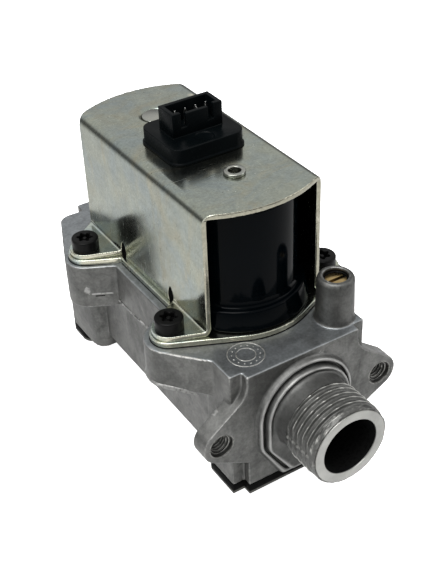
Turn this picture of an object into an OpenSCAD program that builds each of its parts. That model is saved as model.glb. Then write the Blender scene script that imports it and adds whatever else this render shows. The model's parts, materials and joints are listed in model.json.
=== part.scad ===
// Gas valve with two solenoids side by side under one steel yoke.
// Heights inside the modules count from the top of the base plate (z = 0), lengths from the
// middle of the yoke (y = 0, outlet towards -Y). seated() then moves the whole valve so that it
// stands on z = 0 with its bounding box centred on the origin.

/* [Body casting] */
// Width of the casting between its side walls
body_w = 37.8; // [36:0.1:44]
// Distance from the middle of the yoke to the casting's front face
body_front = 45.5; // [44:0.1:56]
// Distance from the middle of the yoke to the casting's rear face
body_rear = 40.2; // [39.6:0.1:50]
// Height of the casting
body_h = 33.4; // [32:0.1:42]
// Depth of the corner notches, across the casting
notch_w = 3.2; // [1:0.1:5]
// Depth of the corner notches, along the casting
notch_l = 2.3; // [1:0.1:5]
// Height of the deck with the front screw bosses
deck_h = 10.5; // [8:0.1:14]
// Extra depth of the rear screw bosses below the deck
rear_boss_drop = 2; // [0:0.1:4]
// How far the deck stands proud of the lower walls
deck_step = 0.7; // [0.2:0.1:2]
// How far short of the rear face the deck stands proud
deck_stop = 5; // [3:0.5:8]
// Radius of the front screw bosses
front_boss_r = 6.3; // [5.4:0.1:8]
// Radius of the rear screw bosses
rear_boss_r = 5.85; // [5.4:0.05:8]
// Length of the front boss's forward slope along the side wall
front_boss_run = 13.5; // [9:0.1:18]
// Length of the front boss's rearward slope along the side wall
front_boss_back = 10.5; // [8:0.1:16]
// Length of the rear boss's forward slope along the side wall
rear_boss_run = 8.6; // [6:0.1:14]
// Width of the casting at its rear end
rear_w = 43; // [40:0.1:48]
// Length of the wide part at the rear end
rear_block_l = 19; // [14:0.1:22]
// Corner radius of the rear block
rear_corner_r = 3.5; // [1:0.1:6]
// Height of the narrow foot rim that the bottom cover closes
foot_h = 3.9; // [2:0.1:7]
// Half width of the foot rim between its lobes
foot_half_w = 15.4; // [14.6:0.1:17]
// Length of the front lobe of the foot rim
front_lobe_l = 12.5; // [10:0.1:15]
// Length of the rear lobe of the foot rim
rear_lobe_l = 11.5; // [10:0.1:14]

/* [Outlet] */
// Depth of the outlet's axis below the base plate's top
outlet_depth = 16.6; // [15.5:0.1:19]
// Outer diameter of the outlet's thread
outlet_d = 20.955; // [18:0.005:24]
// Diameter of the outlet's bore
outlet_bore_d = 14.7; // [10:0.1:15.5]
// Length of the plain neck before the thread
outlet_neck_l = 4.1; // [2:0.1:8]
// Length of the outlet's threaded part, chamfer included
outlet_thread_l = 10.94; // [8:0.02:16]
// Chamfer at the outlet's end
outlet_chamfer = 0.78; // [0.3:0.01:1.5]
// Radius of the raised outer rim round the outlet
rim_r = 13.3; // [12.8:0.1:15]
// How far the outer rim stands out from the front face
rim_proud = 1.5; // [0.5:0.1:3]
// Width of the outer rim
rim_w = 0.9; // [0.5:0.05:1.5]
// Width of the groove inside the rim
rim_groove = 0.7; // [0.4:0.05:1]
// How far the inner pad stands out from the outer rim
pad_proud = 1.3; // [0.5:0.1:3]
// Height of the straight sides of the rim below the outlet's axis
rim_side = 7.4; // [4:0.1:9]
// Half width of the rim's foot
rim_foot = 7; // [4:0.1:9]

/* [Front flange] */
// Distance between the two threaded ear holes
ear_span = 45.8; // [44:0.1:54]
// Depth of the ear holes below the outlet's axis
ear_drop = 1.7; // [0:0.1:3]
// Radius of the ears
ear_r = 4.7; // [4:0.1:6]
// Radius of the flange's middle part
flange_r = 17; // [15:0.1:18]
// Thickness of the front flange
flange_t = 5; // [4:0.1:8]
// Core diameter of the M5 threads in the ears
ear_thread_d = 4.2; // [3:0.1:5]
// Diameter of the counterbores in the ears
ear_counterbore_d = 6; // [5.2:0.1:7]
// Depth of the counterbores in the ears
ear_counterbore_h = 1.2; // [0.5:0.1:2]

/* [Inlet] */
// Width of the raised inlet pad at the rear
inlet_pad_w = 27; // [25:0.1:32]
// How far the inlet pad stands out from the rear face
inlet_pad_t = 3.3; // [2:0.1:6]
// Core diameter of the inlet's pipe thread
inlet_d = 18.632; // [14:0.002:19]
// Depth of the inlet's threaded hole
inlet_l = 11; // [9:0.1:11.4]
// Radius of the drilling from the inlet to the rear valve chamber
inlet_port_r = 3.8; // [2.5:0.1:4.4]
// Radius of the strainer
strainer_r = 8.2; // [6.5:0.1:9]
// Thickness of the inlet strainer
strainer_t = 1.2; // [0.8:0.1:2]
// Width of the strainer's rim
strainer_rim = 1.4; // [1:0.1:2]
// Number of wires each way in the strainer
strainer_wires = 7; // [5:1:9]
// Width of one strainer wire
strainer_wire = 0.4; // [0.3:0.05:0.6]

/* [Pressure test point] */
// Distance of the test point from the middle plane
test_x = 14; // [12:0.1:16]
// Distance of the test point behind the casting's front face
test_back = 7.2; // [6.6:0.1:8]
// Outer diameter of the test nipple
test_d = 9; // [8:0.1:11]
// Height of the test nipple above the deck
test_h = 12; // [9:0.1:16]
// Rounding of the nipple's top edge
test_round = 1.1; // [0.3:0.1:1.2]
// Diameter of the test screw's head
test_screw_d = 5.3; // [4.6:0.1:6]
// Height of the test screw's head
test_head_h = 2.4; // [1.5:0.1:3]
// How far the screw's head lies below the nipple's rim
test_sunk = 1.3; // [0.5:0.1:2]
// Diameter of the test screw's shank
test_shank_d = 3.2; // [2.6:0.1:3.6]
// Length of the test screw's shank
test_shank_l = 9; // [6:0.1:10]
// Thickness of the sealing ring under the test screw's head
test_seal_t = 1; // [0.6:0.1:1.6]
// Diameter of the duct from the test point to the outlet's bore
test_duct_d = 1.4; // [0.8:0.1:2]
// Width of the screwdriver slot
test_slot_w = 0.9; // [0.5:0.1:1.2]
// Depth of the screwdriver slot
test_slot_h = 1.1; // [0.6:0.1:1.4]

/* [Base plate] */
// Thickness of the base plate
plate_t = 1.5; // [1:0.1:2.5]
// Half width of the plate between its tabs
plate_half_w = 17; // [16.5:0.1:18]
// Corner radius of the plate round the screws
plate_corner_r = 4.8; // [4.2:0.1:5.2]
// Radius of the plate's rounded nose at each end
plate_nose_r = 20; // [12:0.5:22]
// Distance from the yoke's middle to the plate's nose
plate_nose = 36.2; // [34.5:0.1:38]
// Distance from a screw to the inner end of the plate's lug
plate_lug = 7.6; // [7:0.1:12]

/* [Yoke] */
// Outer width of the yoke
yoke_w = 32; // [31.6:0.1:33]
// Length of the yoke's side walls
yoke_l = 59; // [56:0.1:62]
// Height of the yoke over the base plate
yoke_h = 32.7; // [31:0.1:40]
// Thickness of the yoke's sheet
yoke_t = 1.3; // [0.8:0.05:1.4]
// Outer bend radius of the yoke
yoke_bend_r = 2.5; // [2:0.1:4]
// How far the top's rounded ends reach past the side walls
yoke_overhang = 4.4; // [2:0.1:5]
// Radius of the top's rounded ends
yoke_end_r = 29; // [20:0.5:34]
// Corner radius of the yoke's tabs
tab_r = 4.3; // [4:0.1:4.8]
// Inner bend radius where the tabs leave the side walls
tab_bend_r = 0.6; // [0.3:0.1:1.2]
// Distance from a front screw to the inner end of its tab's fold
front_tab_lead = 8.4; // [6:0.1:10]
// Distance from a rear screw to the inner end of its tab's fold
rear_tab_lead = 7.2; // [5:0.1:8]
// Width of the relief slits beside the tabs
slit_w = 2; // [0.8:0.1:2.4]
// Height of the relief slits
slit_h = 4.4; // [3:0.1:6]
// Width of the cable window in the yoke's top
window_w = 11.8; // [8:0.1:14]
// Length of the cable window
window_l = 6.6; // [4:0.1:6.8]

/* [Yoke screws] */
// Half distance between the front screws
front_screw_x = 22; // [21.5:0.1:23]
// Distance of the front screws from the middle of the yoke
front_screw_y = 22.5; // [21.5:0.1:24]
// Half distance between the rear screws
rear_screw_x = 22.7; // [22:0.1:23.5]
// Distance of the rear screws from the middle of the yoke
rear_screw_y = 19.2; // [18.5:0.1:22]
// Diameter of the screw heads
screw_head_d = 7; // [6:0.1:8]
// Height of the screw heads
screw_head_h = 3; // [2:0.1:4]
// Diameter of the screw shanks
screw_d = 4; // [3:0.1:4.4]
// Length of the screw shanks
screw_l = 11; // [8:0.1:12]
// Diameter of the driver recess
screw_recess_d = 3.6; // [2.5:0.1:4.4]
// Depth of the driver recess
screw_recess_h = 1.4; // [0.8:0.1:1.8]

/* [Solenoids] */
// Distance between the axes of the two solenoids
coil_pitch = 36; // [35.4:0.1:38]
// Outer diameter of the moulded coils
coil_d = 28.9; // [26:0.1:29]
// Diameter of the coils' moulded foot where it meets the plate
coil_foot_d = 34.6; // [32.6:0.1:35]
// Diameter of the coils' moulded foot at its top
coil_foot_top_d = 32.4; // [30:0.1:32.6]
// Height of the coils' moulded foot
coil_foot_h = 5.2; // [3:0.1:8]
// Thickness of the coil moulding's side wall
coil_wall = 2; // [1:0.1:3]
// Clearance between the copper winding and the moulding's side wall
winding_gap = 0.95; // [0.3:0.05:3]
// Chamfer at the coils' top edge
coil_edge = 1; // [0.9:0.1:2]
// Wall of the bobbin's tube
bobbin_wall = 1.2; // [0.8:0.1:2]
// Thickness of the bobbin's flanges
bobbin_flange_t = 1.4; // [0.8:0.1:2]
// Outer diameter of the guide tubes
tube_d = 10.2; // [9:0.1:11]
// Wall of the guide tubes
tube_wall = 0.4; // [0.3:0.05:0.8]
// Diameter of the guide tubes' collar under the plate
tube_collar_d = 15; // [13.4:0.1:18]
// Thickness of the collar
tube_collar_t = 0.8; // [0.5:0.1:1.5]
// Depth of the fixed cores below the yoke's top sheet
core_l = 11.5; // [8:0.1:16]
// Diameter of the front core's hollow rivet
rivet_d = 5.2; // [4.6:0.1:6]
// Height of the rivet's rim above the yoke
rivet_h = 0.8; // [0.4:0.1:1.5]
// Diameter of the hole in the rivet
rivet_hole_d = 3; // [1.5:0.1:3.2]
// Diameter of the rear core's staked end
stake_d = 7.2; // [5:0.1:8]
// Depth of the dished edge round the staked end
stake_dish = 0.4; // [0.2:0.05:0.8]
// Chamfer at the plungers' upper end
plunger_edge = 0.6; // [0.3:0.1:1]
// Depth of the blind hole in the rivet below the yoke's top
rivet_depth = 2; // [1:0.1:4]
// Stroke of the plungers
stroke = 1.9; // [1:0.1:2.4]
// Air gap left between plunger and core when the valve is open
rest_gap = 0.1; // [0.05:0.05:0.4]

/* [Valve discs] */
// Radius of the chambers round the valve discs
chamber_r = 11.5; // [11:0.1:12.4]
// Height of the discs' chambers
chamber_h = 13.9; // [12.5:0.1:15]
// Radius of the valve seats
seat_r = 7; // [5:0.1:8]
// Width of the seats' sealing lip
seat_lip = 0.7; // [0.4:0.1:1.2]
// Height of the seats' sealing lip
seat_h = 1.2; // [0.6:0.1:2]
// Thickness of the floor that carries a seat
seat_floor = 2.6; // [2:0.1:4]
// Diameter of the valve discs
disc_d = 18; // [17.6:0.1:20]
// Thickness of the valve discs
disc_t = 1.2; // [0.8:0.1:2]
// Thickness of the discs' rubber seals
disc_seal_t = 2; // [1:0.1:2.6]
// Diameter of the stem that holds disc and seal
stem_d = 5; // [3:0.1:6]
// Mean diameter of the return springs
spring_d = 12.4; // [11.8:0.1:13]
// Diameter of the spring wire
spring_wire = 0.8; // [0.5:0.05:0.9]
// Number of turns in a return spring
spring_turns = 4; // [3:1:5]
// Mean radius of the O-rings round the chambers
oring_r = 13.4; // [13.2:0.1:13.8]
// Cord diameter of the O-rings
oring_d = 1.6; // [1:0.1:1.8]
// Width of the transfer slot between the two valves
transfer_w = 15; // [8:0.1:18]
// Length of the transfer slot
transfer_l = 3.2; // [2:0.1:4]
// How far the transfer passage rises over the valve seats
transfer_rise = 4; // [3:0.5:4.5]
// Width of the throat from the front valve to the outlet
throat_w = 12; // [8:0.1:14]
// Reach of the throat into the outlet's bore
throat_l = 7; // [4:0.1:9]
// Height of the throat's floor above the foot
throat_floor = 6; // [4:0.1:9]

/* [Bottom cover] */
// Thickness of the bottom gasket
gasket_t = 2.2; // [0.8:0.1:3]
// Thickness of the bottom cover
cover_t = 0.8; // [0.8:0.1:3]
// Half distance between the front cover screws
front_cover_x = 12; // [11:0.1:13]
// Distance of the front cover screws behind the front face
front_cover_back = 6.6; // [6:0.1:8]
// Half distance between the rear cover screws
rear_cover_x = 16.4; // [15:0.1:17]
// Distance of the rear cover screws before the rear face
rear_cover_back = 5.6; // [5:0.1:7]
// Diameter of the cover screws' heads
cover_head_d = 6.4; // [5:0.1:7]
// Height of the cover screws' heads
cover_head_h = 2; // [1.4:0.1:3]
// Diameter of the cover screws' shanks
cover_screw_d = 3.5; // [2.5:0.1:4]
// Length of the cover screws' shanks
cover_screw_l = 9; // [7:0.1:11]

/* [Connector] */
// Width of the connector's base
plug_base_w = 19.6; // [17:0.1:22]
// Length of the connector's base
plug_base_l = 17.2; // [15:0.1:19]
// Height of the connector's base
plug_base_h = 4; // [3:0.1:6]
// Corner radius of the connector's base
plug_base_r = 3; // [1:0.1:4]
// How far the thin lip under the base stands out
plug_lip = 0.4; // [0.3:0.1:1.5]
// Height of the thin lip
plug_lip_h = 0.5; // [0.4:0.1:1]
// Diameter of the shallow round mark on the connector's base
plug_mark_d = 4.7; // [3:0.1:5]
// Distance of the round mark from the middle of the base
plug_mark_y = 5.4; // [4.9:0.1:6]
// Width of the plug shroud
shroud_w = 13.6; // [13:0.1:16]
// Length of the plug shroud
shroud_l = 6.5; // [5:0.1:8]
// Height of the plug shroud above the base
shroud_h = 6; // [5:0.1:9]
// Wall of the plug shroud
shroud_wall = 1.1; // [0.6:0.1:1.2]
// Distance of the shroud's centre from the base's centre
shroud_y = 0.6; // [-1:0.1:1.5]
// Width of the keying slots in the shroud's front wall
key_w = 1.5; // [0.6:0.1:1.6]
// Half distance between the keying slots
key_x = 3.7; // [2.4:0.1:4]
// How far the tongue between the slots lies below the shroud's rim
tongue_drop = 0.5; // [0.2:0.1:2]
// Distance between neighbouring pins
pin_pitch = 2.8; // [2:0.1:3]
// Number of pins
pin_count = 4; // [2:1:4]
// Width of one square pin
pin_w = 0.64; // [0.5:0.02:0.9]
// Height of the pins inside the shroud
pin_h = 4.8; // [3:0.1:5]

/* [Clearances] */
// Radial clearance of plungers and shafts in their guides
running_gap = 0.05; // [0.02:0.01:0.1]
// Clearance between parts that are fitted together
fit_gap = 0.1; // [0.05:0.01:0.2]
// Clearance of screws in through holes
screw_gap = 0.25; // [0.15:0.05:0.4]
// Wall thickness between the gas passages
passage_wall = 2.4; // [1.6:0.1:3]

/* [Hidden] */

smooth = 72;
eps = 0.01;

// Connector details below the base's top
plug_mark_h = 0.3;
pin_root = 1.9;

// Levels, from the base plate's top
deck_z = -plate_t;
foot_z = deck_z - body_h;
cover_z = foot_z - gasket_t - cover_t;
outlet_z = -outlet_depth;
chamber_floor = deck_z - chamber_h;
seat_z = chamber_floor + seat_h;
gallery_z = chamber_floor - seat_floor;
sheet_z = yoke_h - yoke_t;
plug_z = yoke_h + plug_base_h;

// Stations along the valve
rim_y = -body_front - rim_proud;
pad_y = rim_y - pad_proud;
outlet_end = pad_y - outlet_neck_l - outlet_thread_l;
inlet_y = body_rear + inlet_pad_t;
inlet_floor = inlet_y - inlet_l;
strainer_y = inlet_floor - strainer_t - 0.2;
test_y = -body_front + test_back;
solenoid_y = coil_pitch / 2;
transfer_y = -solenoid_y + chamber_r - transfer_l / 2 - 0.4;
throat_y = -solenoid_y - chamber_r - passage_wall;

// Inside of the solenoids
rivet_neck_d = rivet_d - 1.2;
tube_top = sheet_z - 2;
guide_r = tube_d / 2 - tube_wall;
plunger_r = guide_r - running_gap;
core_r = guide_r - running_gap;
core_z = sheet_z - core_l;
disc_z = seat_z + disc_seal_t;
plunger_top = core_z - stroke - rest_gap;
plunger_z = disc_z + disc_t;
bore_r = tube_d / 2 + fit_gap;
bobbin_r = bore_r + bobbin_wall;
coil_top = sheet_z - 2 * fit_gap;
winding_r = coil_d / 2 - coil_wall - winding_gap;
winding_z = 2 * fit_gap + coil_wall + bobbin_flange_t;
winding_top = coil_top - coil_wall - bobbin_flange_t - fit_gap;
spring_top = deck_z - tube_collar_t;

// Test point
test_top = deck_z + test_h;
test_head_top = test_top - test_sunk;
test_seat = test_head_top - test_head_h - test_seal_t;
test_duct_z = outlet_z + outlet_bore_d / 4;

// The frame: the valve stands on its cover screws, its box centred on the origin
stand_z = cover_z - cover_head_h;
middle_y = (inlet_y + outlet_end) / 2;

module seated() translate([0, -middle_y, -stand_z]) children();

module at_front() translate([0, -solenoid_y, 0]) children();

module at_rear() translate([0, solenoid_y, 0]) mirror([0, 1, 0]) children();

module both_sides() {
    children();
    mirror([1, 0, 0]) children();
}

// A vertical prism between two heights
module slab(low, high) translate([0, 0, low]) linear_extrude(high - low) children();

// A prism across the valve, drawn in y and z, from x = near to x = far
module along_x(near, far)
    translate([near, 0, 0]) rotate([90, 0, 90]) linear_extrude(far - near) children();

// A prism along the valve, drawn in x and z, from y = near to y = far
module along_y(near, far)
    translate([0, far, 0]) rotate([90, 0, 0]) linear_extrude(far - near) children();

// A round bar or hole along the valve
module rod_y(r, near, far, z = outlet_z)
    translate([0, near, z]) rotate([-90, 0, 0]) cylinder(r = r, h = far - near, $fn = smooth);

module at_yoke_screws() {
    both_sides() {
        translate([front_screw_x, -front_screw_y, 0]) children();
        translate([rear_screw_x, rear_screw_y, 0]) children();
    }
}

module at_cover_screws() {
    both_sides() {
        translate([front_cover_x, -body_front + front_cover_back, 0]) children();
        translate([rear_cover_x, body_rear - rear_cover_back, 0]) children();
    }
}

// Plan of the casting's front part, with the notched corners
module front_plan(half_w) {
    translate([-half_w, -body_front + notch_l]) square([2 * half_w, body_front - notch_l]);
    translate([notch_w - half_w, -body_front]) square([2 * (half_w - notch_w), body_front]);
}

// Plan of the wide rear end, with rounded corners
module rear_plan(length) {
    half_w = rear_w / 2 - rear_corner_r;
    hull() {
        for (x = [-half_w, half_w], y = [rear_corner_r, length - rear_corner_r])
            translate([x, body_rear - y]) circle(r = rear_corner_r, $fn = 32);
    }
}

module inlet_pad_plan()
    translate([-inlet_pad_w / 2, 0]) square([inlet_pad_w, inlet_y]);

// Plan of one front screw boss with its slope to the side wall
module front_boss_plan() {
    hull() {
        translate([front_screw_x, -front_screw_y]) circle(r = front_boss_r, $fn = 48);
        translate([body_w / 2 - 1, -front_screw_y - front_boss_run])
            square([1, front_boss_run + front_boss_back]);
    }
}

// Plan of one rear screw boss, which runs back to the rear corner
module rear_boss_plan() {
    hull() {
        translate([rear_screw_x, rear_screw_y]) circle(r = rear_boss_r, $fn = 48);
        translate([body_w / 2 - 1, rear_screw_y - rear_boss_run]) square([1, rear_boss_run]);
        translate([rear_w / 2 - rear_corner_r, body_rear - rear_corner_r])
            circle(r = rear_corner_r, $fn = 32);
    }
}

// Plan of the foot rim, which gasket and cover repeat
module foot_plan() {
    front_lobe_plan();
    translate([-foot_half_w, -body_front + 1]) square([2 * foot_half_w, body_front + body_rear - 2]);
    rear_plan(rear_lobe_l);
}

module front_lobe_plan() {
    intersection() {
        front_plan(body_w / 2);
        translate([-body_w, -body_front]) square([2 * body_w, front_lobe_l]);
    }
}

// Openings of the gas passages in the foot
module gallery_plan() {
    half_w = foot_half_w - passage_wall;
    front_end = transfer_y - passage_wall;
    front_start = throat_y + throat_l - 2;
    translate([-half_w, front_start]) square([2 * half_w, front_end - front_start]);
    translate([-half_w, transfer_y]) square([2 * half_w, strainer_y - passage_wall - transfer_y]);
}

// Outline of the oval front flange with its two ears, in x and z
module flange_outline() {
    hull() {
        translate([0, outlet_z]) circle(r = flange_r, $fn = 96);
        for (side = [-1, 1])
            translate([side * ear_span / 2, outlet_z - ear_drop]) circle(r = ear_r, $fn = 48);
    }
}

// Outline of the raised rim: an arch with straight sides and a narrower foot
module rim_outline(inset) {
    arch = rim_r - inset;
    foot = max(rim_foot - inset, 1);
    translate([0, outlet_z]) circle(r = arch, $fn = smooth);
    polygon([[-arch, outlet_z], [-arch, outlet_z - rim_side], [-foot, foot_z + inset],
        [foot, foot_z + inset], [arch, outlet_z - rim_side], [arch, outlet_z]]);
}

module test_nipple() {
    r = test_d / 2;
    translate([test_x, test_y, deck_z - 1]) {
        cylinder(r = r, h = test_h + 1 - test_round, $fn = smooth);
        cylinder(r = r - test_round, h = test_h + 1, $fn = smooth);
        translate([0, 0, test_h + 1 - test_round]) rotate_extrude($fn = smooth)
            translate([r - test_round, 0]) intersection() {
                circle(r = test_round, $fn = 32);
                square(test_round);
            }
    }
}

module outlet_spigot() {
    rod_y(outlet_d / 2, outlet_end + outlet_chamfer, pad_y + 2);
    translate([0, outlet_end, outlet_z]) rotate([-90, 0, 0])
        cylinder(r1 = outlet_d / 2 - outlet_chamfer, r2 = outlet_d / 2, h = outlet_chamfer, $fn = smooth);
    translate([0, pad_y - 1, outlet_z]) rotate([-90, 0, 0])
        cylinder(r1 = outlet_d / 2, r2 = outlet_d / 2 + 0.9, h = 1.1, $fn = smooth);
}

module casting_solid() {
    lower_half_w = body_w / 2 - deck_step;
    slab(deck_z - deck_h, deck_z) {
        front_plan(body_w / 2);
        translate([-body_w / 2, -1]) square([body_w, body_rear + 1 - deck_stop]);
        both_sides() front_boss_plan();
    }
    slab(deck_z - deck_h - rear_boss_drop, deck_z) both_sides() rear_boss_plan();
    slab(foot_z + foot_h, deck_z - 1) {
        front_plan(lower_half_w);
        translate([-lower_half_w, -1]) square([2 * lower_half_w, body_rear - 1]);
    }
    slab(foot_z + foot_h, deck_z - 1) front_lobe_plan();
    slab(foot_z, foot_z + foot_h + 1) foot_plan();
    slab(foot_z, deck_z) rear_plan(rear_block_l);
    slab(foot_z + 1, deck_z) inlet_pad_plan();
    intersection() {
        along_y(-body_front, -body_front + flange_t) flange_outline();
        translate([-ear_span, -body_front - 1, foot_z]) cube([2 * ear_span, 2 * flange_t, body_h]);
    }
    along_y(rim_y, -body_front + 1) difference() {
        rim_outline(0);
        rim_outline(rim_w);
    }
    along_y(pad_y, -body_front + 1) rim_outline(rim_w + rim_groove);
    outlet_spigot();
    test_nipple();
}

// Gas path: inlet, chamber and seat of the rear valve, transfer to the front valve, outlet
module gas_passages() {
    rod_y(inlet_d / 2, inlet_floor, inlet_y + 1);
    rod_y(strainer_r + fit_gap, strainer_y, inlet_floor + 1);
    rod_y(inlet_port_r, solenoid_y, inlet_floor, chamber_floor + inlet_port_r + 0.2);
    for (y = [-solenoid_y, solenoid_y])
        translate([0, y, 0]) {
            difference() {
                translate([0, 0, chamber_floor]) cylinder(r = chamber_r, h = chamber_h + 1, $fn = smooth);
                translate([0, 0, chamber_floor - 1])
                    cylinder(r = seat_r + seat_lip, h = seat_h + 1, $fn = smooth);
            }
            translate([0, 0, gallery_z - 1])
                cylinder(r = seat_r, h = seat_z - gallery_z + 2, $fn = smooth);
        }
    slab(foot_z - 1, gallery_z) gallery_plan();
    translate([-transfer_w / 2, transfer_y, gallery_z - 1])
        cube([transfer_w, transfer_l, seat_z + transfer_rise - gallery_z + 1]);
    rod_y(outlet_bore_d / 2, outlet_end - 1, throat_y);
    translate([-throat_w / 2, throat_y - throat_l, foot_z + throat_floor])
        cube([throat_w, 2 * throat_l, gallery_z - foot_z - throat_floor]);
}

module ear_holes() {
    for (side = [-1, 1])
        translate([side * ear_span / 2, 0, -ear_drop]) {
            rod_y(ear_thread_d / 2, -body_front - 1, -body_front + flange_t + 1);
            rod_y(ear_counterbore_d / 2, -body_front - 1, -body_front + ear_counterbore_h);
        }
}

module test_drilling() {
    translate([test_x, test_y, 0]) {
        translate([0, 0, test_seat])
            cylinder(d = test_screw_d + 2 * fit_gap, h = test_h, $fn = smooth);
        translate([0, 0, test_seat - test_shank_l - 1])
            cylinder(r = test_shank_d / 2 + running_gap, h = test_shank_l + 2, $fn = smooth);
    }
    translate([test_x, test_y, test_duct_z])
        cylinder(d = test_duct_d, h = test_seat - test_duct_z, $fn = 24);
    translate([3, test_y, test_duct_z]) rotate([0, 90, 0])
        cylinder(d = test_duct_d, h = test_x - 3, $fn = 24);
}

module body() seated() color([0.47, 0.48, 0.47]) difference() {
    casting_solid();
    gas_passages();
    ear_holes();
    test_drilling();
    for (y = [-solenoid_y, solenoid_y])
        translate([0, y, deck_z - oring_d - fit_gap]) ring_slot(oring_r, oring_d + 2 * fit_gap, oring_d + fit_gap + 1);
    at_yoke_screws() translate([0, 0, yoke_t - screw_l - 0.8])
        cylinder(d = screw_d + fit_gap, h = screw_l, $fn = 36);
    at_cover_screws() translate([0, 0, foot_z - 1])
        cylinder(d = cover_screw_d + fit_gap, h = cover_screw_l, $fn = 36);
}

module ring_slot(mean_r, width, height) {
    difference() {
        cylinder(r = mean_r + width / 2, h = height, $fn = smooth);
        translate([0, 0, -1]) cylinder(r = mean_r - width / 2, h = height + 2, $fn = smooth);
    }
}

// Round end of the plate, no wider than the plate's sides
module nose_plan(end) {
    translate([0, end * (plate_nose - plate_nose_r)]) intersection() {
        circle(r = plate_nose_r, $fn = 96);
        translate([-plate_half_w, end < 0 ? -plate_nose_r : 0]) square([2 * plate_half_w, plate_nose_r]);
    }
}

// Plan of the base plate: a rounded nose at each end and a tab round each screw
module plate_plan() {
    translate([-plate_half_w, -yoke_l / 2]) square([2 * plate_half_w, yoke_l]);
    for (end = [-1, 1]) {
        screw_x = end < 0 ? front_screw_x : rear_screw_x;
        screw_y = end < 0 ? front_screw_y : rear_screw_y;
        hull() {
            nose_plan(end);
            for (side = [-1, 1]) {
                translate([side * screw_x, end * screw_y]) circle(r = plate_corner_r, $fn = 48);
                translate([side * plate_half_w - 0.5, end * (screw_y - plate_lug) - 0.5]) square([1, 1]);
            }
        }
    }
}

module base_plate() seated() color([0.72, 0.72, 0.66]) difference() {
    slab(deck_z, 0) plate_plan();
    for (y = [-solenoid_y, solenoid_y])
        translate([0, y, deck_z - 1]) cylinder(r = bore_r, h = plate_t + 2, $fn = smooth);
    at_yoke_screws() translate([0, 0, deck_z - 1])
        cylinder(d = screw_d + 2 * screw_gap, h = plate_t + 2, $fn = 36);
}

// Section of the yoke's bent sheet, in x and z
module yoke_section(inset) {
    half_w = yoke_w / 2 - inset;
    top = yoke_h - inset;
    bend = yoke_bend_r - inset;
    translate([-half_w, 0]) square([2 * half_w, top - bend]);
    translate([bend - half_w, 0]) square([2 * (half_w - bend), top]);
    for (side = [-1, 1])
        translate([side * (half_w - bend), top - bend]) circle(r = bend, $fn = smooth);
}

// Plan of the yoke's top with its rounded ends
module yoke_top_plan() {
    reach = yoke_l / 2 + yoke_overhang - yoke_end_r;
    hull() {
        translate([-yoke_w / 2, -yoke_l / 2]) square([yoke_w, yoke_l]);
        for (end = [-1, 1])
            translate([0, end * reach]) circle(r = yoke_end_r, $fn = 96);
    }
}

// Plan of one tab: a strip of the side wall joined to the round end at its screw
module tab_plan(screw_x, screw_y, lead, end) {
    wall_l = yoke_l / 2 - screw_y + lead;
    hull() {
        translate([yoke_w / 2 - yoke_t, end > 0 ? yoke_l / 2 - wall_l : -yoke_l / 2])
            square([yoke_t, wall_l]);
        translate([screw_x, end * screw_y]) circle(r = tab_r, $fn = 48);
    }
}

// Section of a side wall bent out into its tab, in x and z
module tab_section() {
    bend_x = yoke_w / 2 + tab_bend_r;
    bend_z = yoke_t + tab_bend_r;
    difference() {
        union() {
            translate([yoke_w / 2 - yoke_t, bend_z]) square([yoke_t, yoke_t]);
            translate([bend_x, 0]) square([yoke_w / 2, yoke_t]);
            translate([yoke_w / 2 - yoke_t, 0]) square([yoke_t + tab_bend_r, bend_z]);
        }
        translate([yoke_w / 2 - yoke_t - 1, -1]) difference() {
            square([yoke_t + tab_bend_r + 1, bend_z + 1]);
            translate([yoke_t + tab_bend_r + 1, bend_z + 1]) circle(r = yoke_t + tab_bend_r, $fn = smooth);
        }
        translate([bend_x, bend_z]) circle(r = tab_bend_r, $fn = 48);
    }
}

module yoke_tabs() {
    both_sides() {
        intersection() {
            along_y(-yoke_l, 0) tab_section();
            slab(-1, yoke_t + tab_bend_r + 1) tab_plan(front_screw_x, front_screw_y, front_tab_lead, -1);
        }
        intersection() {
            along_y(0, yoke_l) tab_section();
            slab(-1, yoke_t + tab_bend_r + 1) tab_plan(rear_screw_x, rear_screw_y, rear_tab_lead, 1);
        }
    }
}

// Narrow pointed slit where a tab's bend begins
module slit() {
    r = (slit_h * slit_h + slit_w * slit_w / 4) / slit_w;
    along_x(yoke_w / 2 - yoke_t - 1, yoke_w / 2 + yoke_t) intersection() {
        translate([slit_w / 2 - r, 0]) circle(r = r, $fn = 200);
        translate([r - slit_w / 2, 0]) circle(r = r, $fn = 200);
    }
}

module yoke_slits() {
    both_sides() {
        translate([0, front_tab_lead + slit_w / 2 - front_screw_y, 0]) slit();
        translate([0, rear_screw_y - rear_tab_lead - slit_w / 2, 0]) slit();
    }
}

// The bottom corner of the walls under the tabs, which the bend rounds off
module wall_corners() {
    both_sides() {
        for (end = [-1, 1]) {
            wall_l = yoke_l / 2 - (end < 0 ? front_screw_y - front_tab_lead : rear_screw_y - rear_tab_lead);
            translate([yoke_w / 2 - yoke_t - 1, end > 0 ? yoke_l / 2 - wall_l : -yoke_l / 2 - 1, -1])
                cube([yoke_t + 2, wall_l + 1, yoke_t + tab_bend_r + 1]);
        }
    }
}

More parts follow.
